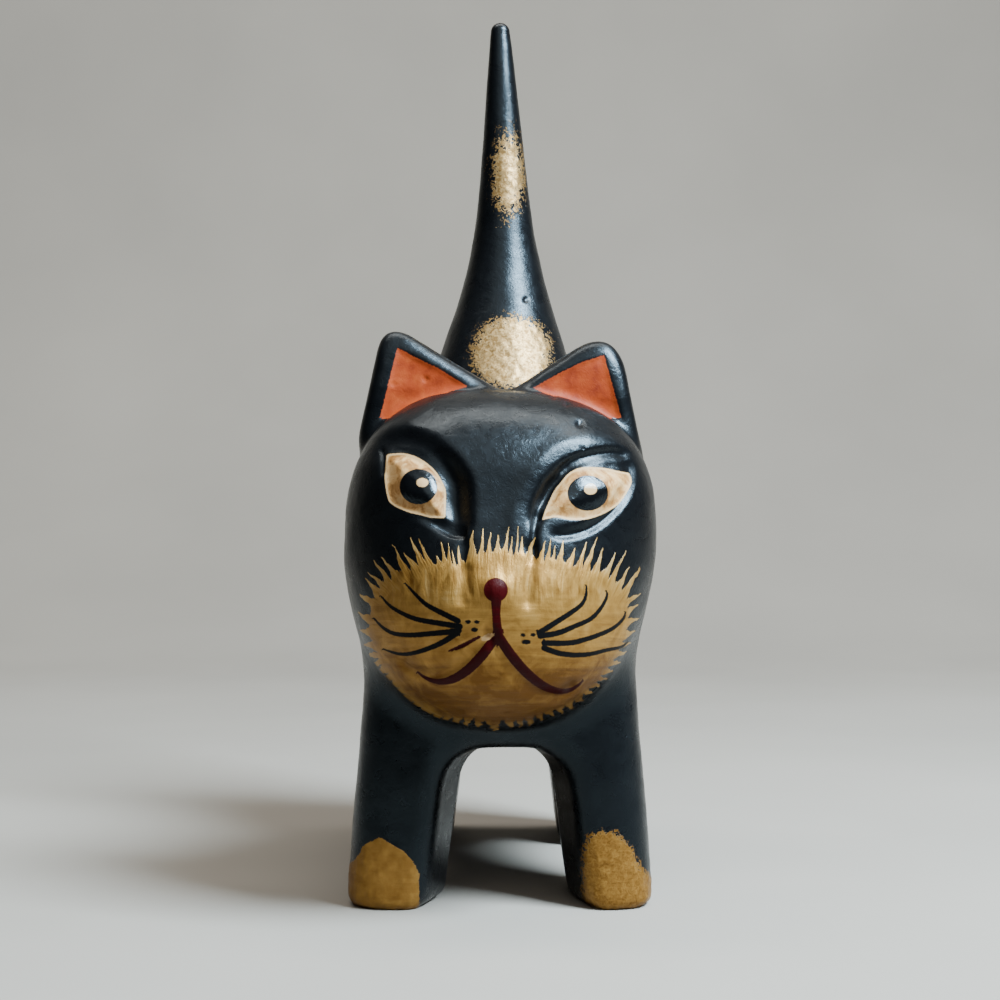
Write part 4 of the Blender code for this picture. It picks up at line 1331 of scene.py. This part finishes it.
def painted_wood():
    """Satin black over the whole cat, and over it gold, red, cream and maroon."""
    paint = Paint("painted_wood")
    place = paint.place()
    wobble = paint.scaled(paint.noise(place, *EDGE_NOISE), EDGE_WOBBLE, -EDGE_WOBBLE / 2)
    grainy = paint.noise(place, *DAB_NOISE)
    dab = paint.scaled(grainy, DAB_WOBBLE, -DAB_WOBBLE / 2)

    muzzle, down, count = gold_muzzle(paint, place)
    gold, streak = gold_colour(paint, place, down, count)
    spots = paint.where(paint.plus(paint.field("spots"), dab))
    right = paint.ramp(paint.field("drawn_x"), DRAWING_MIDDLE - 1, DRAWING_MIDDLE + 1)
    toe_dab = paint.times(dab, paint.blend(right, *TOE_DABS))
    toes = paint.where(paint.plus(paint.field("toes"), toe_dab))
    dabbed = paint.most(spots, toes)
    gilded = paint.most(muzzle, dabbed)
    left_toe = paint.ramp(paint.noise(place, *LEFT_TOE_NOISE), *LEFT_TOE_RAMP)
    toe_tone = paint.blend(right, left_toe, paint.ramp(grainy, *RIGHT_TOE_RAMP))
    spot_colour = paint.mix(paint.ramp(grainy, *DAB_RAMP), *DABS)
    dab_colour = paint.mix(toes, spot_colour, paint.mix(toe_tone, *GOLDS[:2]))
    gold = paint.mix(dabbed, gold, dab_colour)

    red = paint.where(paint.plus(paint.field("reds"), wobble))
    red_colour = paint.tones(paint.noise(place, *RED_NOISE), REDS, RED_RAMPS)
    eye_edge = paint.field("eyes")
    eye = paint.where(paint.scaled(wobble, EYE_WOBBLE, eye_edge))
    cream = paint.tones(paint.noise(place, *STAIN_NOISE), CREAMS, CREAM_RAMPS)
    # Painted highlight: the cream turns lighter along the eye's rim, where the carved edge catches the light.
    cream = paint.mix(paint.ramp(eye_edge, *EYE_RIM_HIGHLIGHT), cream, CREAMS[-1])
    pupil = paint.where(paint.scaled(wobble, PUPIL_WOBBLE, paint.field("pupils")))
    glint = paint.where(paint.scaled(wobble, LINE_WOBBLE, paint.field("glints")))
    freckle = paint.where(paint.scaled(wobble, LINE_WOBBLE, paint.field("freckles")))
    dark = paint.most(stroke_mask(paint, "odd", wobble), stroke_mask(paint, "even", wobble), freckle)
    maroon = paint.most(stroke_mask(paint, "maroon", wobble), paint.where(paint.field("ball")))
    chip = paint.where(paint.scaled(wobble, CHIP_WOBBLE, paint.field("chip")))
    # Painted shade: a dark maroon line along the carved cut beside the chip.
    cut_shade = paint.where(paint.plus(wobble, paint.field("cut_shade")))

    colour = BLACK
    for mask, coat in (
        (gilded, gold), (red, red_colour), (eye, cream), (pupil, BLACK), (glint, CREAMS[-1]),
        (cut_shade, MAROON), (dark, BLACK), (maroon, MAROON), (chip, CREAMS[-1]),
    ):
        colour = paint.mix(mask, colour, coat)
    paint.set(paint.shader.inputs["Base Color"], colour)

    brushed = paint.noise(place, *BRUSHED_NOISE)
    rough = paint.scaled(brushed, *BLACK_ROUGHNESS)
    for mask, roughness in (
        (gilded, paint.scaled(streak, *GOLD_ROUGHNESS)), (red, RED_ROUGHNESS), (eye, EYE_ROUGHNESS),
        (pupil, PUPIL_ROUGHNESS), (maroon, MAROON_ROUGHNESS),
    ):
        rough = paint.blend(mask, rough, roughness)
    paint.set(paint.shader.inputs["Roughness"], rough)
    gloss = paint.blend(gilded, BLACK_GLOSS, GOLD_GLOSS)
    for mask, further in (
        (paint.most(maroon, dark), LINE_GLOSS),
        (paint.most(red, eye), RED_AND_EYE_GLOSS),
        (pupil, PUPIL_GLOSS),
    ):
        gloss = paint.blend(mask, gloss, further)
    paint.set(paint.shader.inputs["Specular IOR Level"], gloss)
    paint.set(paint.shader.inputs["Specular Tint"], paint.mix(gilded, BLACK_SHEEN, PLAIN_SHEEN))
    bare_gold = paint.minus(gilded, paint.most(eye, red, maroon, dark), clamp=True)
    paint.set(paint.shader.inputs["Metallic"], paint.times(bare_gold, GOLD_METALLIC))

    leather = paint.noise(place, *LEATHER_NOISE)
    wood = paint.scaled(leather, WOOD_BUMPS[0], paint.times(brushed, WOOD_BUMPS[1]))
    gold_height = paint.scaled(streak, GOLD_BUMPS[0], paint.times(grainy, GOLD_BUMPS[1]))
    height = paint.blend(gilded, wood, gold_height)
    inputs = {"Strength": BUMP_STRENGTH, "Distance": BUMP_DISTANCE, "Height": height}
    paint.set(paint.shader.inputs["Normal"], paint.add("ShaderNodeBump", inputs).outputs["Normal"])
    return paint.material


def make_backdrop():
    """A plain pale floor that curves up into a wall behind the cat."""
    profile = [(FLOOR_FRONT, 0.0), (FLOOR_BACK, 0.0)]
    for turn in np.linspace(0, math.pi / 2, COVE_STEPS + 1)[1:]:
        profile.append((FLOOR_BACK + COVE_RADIUS * math.sin(turn), COVE_RADIUS * (1 - math.cos(turn))))
    profile.append((FLOOR_BACK + COVE_RADIUS, WALL_TOP))
    mesh = bmesh.new()
    sides = (-BACKDROP_HALF_WIDTH, BACKDROP_HALF_WIDTH)
    rows = [[mesh.verts.new((x, y, z)) for x in sides] for y, z in profile]
    for low, high in zip(rows[:-1], rows[1:], strict=True):
        mesh.faces.new((low[0], low[1], high[1], high[0]))
    data = bpy.data.meshes.new("backdrop")
    mesh.to_mesh(data)
    mesh.free()
    data.shade_smooth()
    floor = bpy.data.objects.new("backdrop", data)
    bpy.context.scene.collection.objects.link(floor)
    paint = Paint("backdrop_paper")
    mottle = paint.ramp(paint.noise(paint.place(), *PAPER_NOISE), *PAPER_RAMP)
    paint.set(paint.shader.inputs["Base Color"], paint.mix(mottle, *PAPERS))
    paint.set(paint.shader.inputs["Roughness"], PAPER_ROUGHNESS)
    data.materials.append(paint.material)


def add_light(name, place, target, width, height, power, colour):
    light = bpy.data.lights.new(name, "AREA")
    light.shape = "RECTANGLE"
    light.size, light.size_y = width, height
    light.energy = power
    light.color = colour
    lamp = bpy.data.objects.new(name, light)
    lamp.location = place
    lamp.rotation_euler = (Vector(target) - Vector(place)).to_track_quat("-Z", "Y").to_euler()
    bpy.context.scene.collection.objects.link(lamp)


def make_lights():
    for name, values in LIGHTS.items():
        add_light(name, *values)
    world = bpy.data.worlds.new("room")
    world.use_nodes = True
    background = world.node_tree.nodes["Background"].inputs
    background["Color"].default_value = ROOM_COLOUR
    background["Strength"].default_value = ROOM_STRENGTH
    bpy.context.scene.world = world


def make_camera():
    """Level, straight in front of the face, where the drawing is seen from."""
    camera = bpy.data.cameras.new("camera")
    camera.sensor_width = SENSOR_WIDTH
    camera.lens = camera.sensor_width * LAYOUT_DISTANCE / PIXEL / (2 * DRAWING_MIDDLE)
    camera.clip_start = CLIP_START
    eye = bpy.data.objects.new("camera", camera)
    eye.location = (0, CAD_BOX[0][1] + MUZZLE_REACH - LAYOUT_DISTANCE, LAYOUT_HEIGHT)
    eye.rotation_euler = (math.pi / 2, 0, 0)
    bpy.context.scene.collection.objects.link(eye)
    bpy.context.scene.camera = eye


make_cat()
make_backdrop()
make_lights()
make_camera()
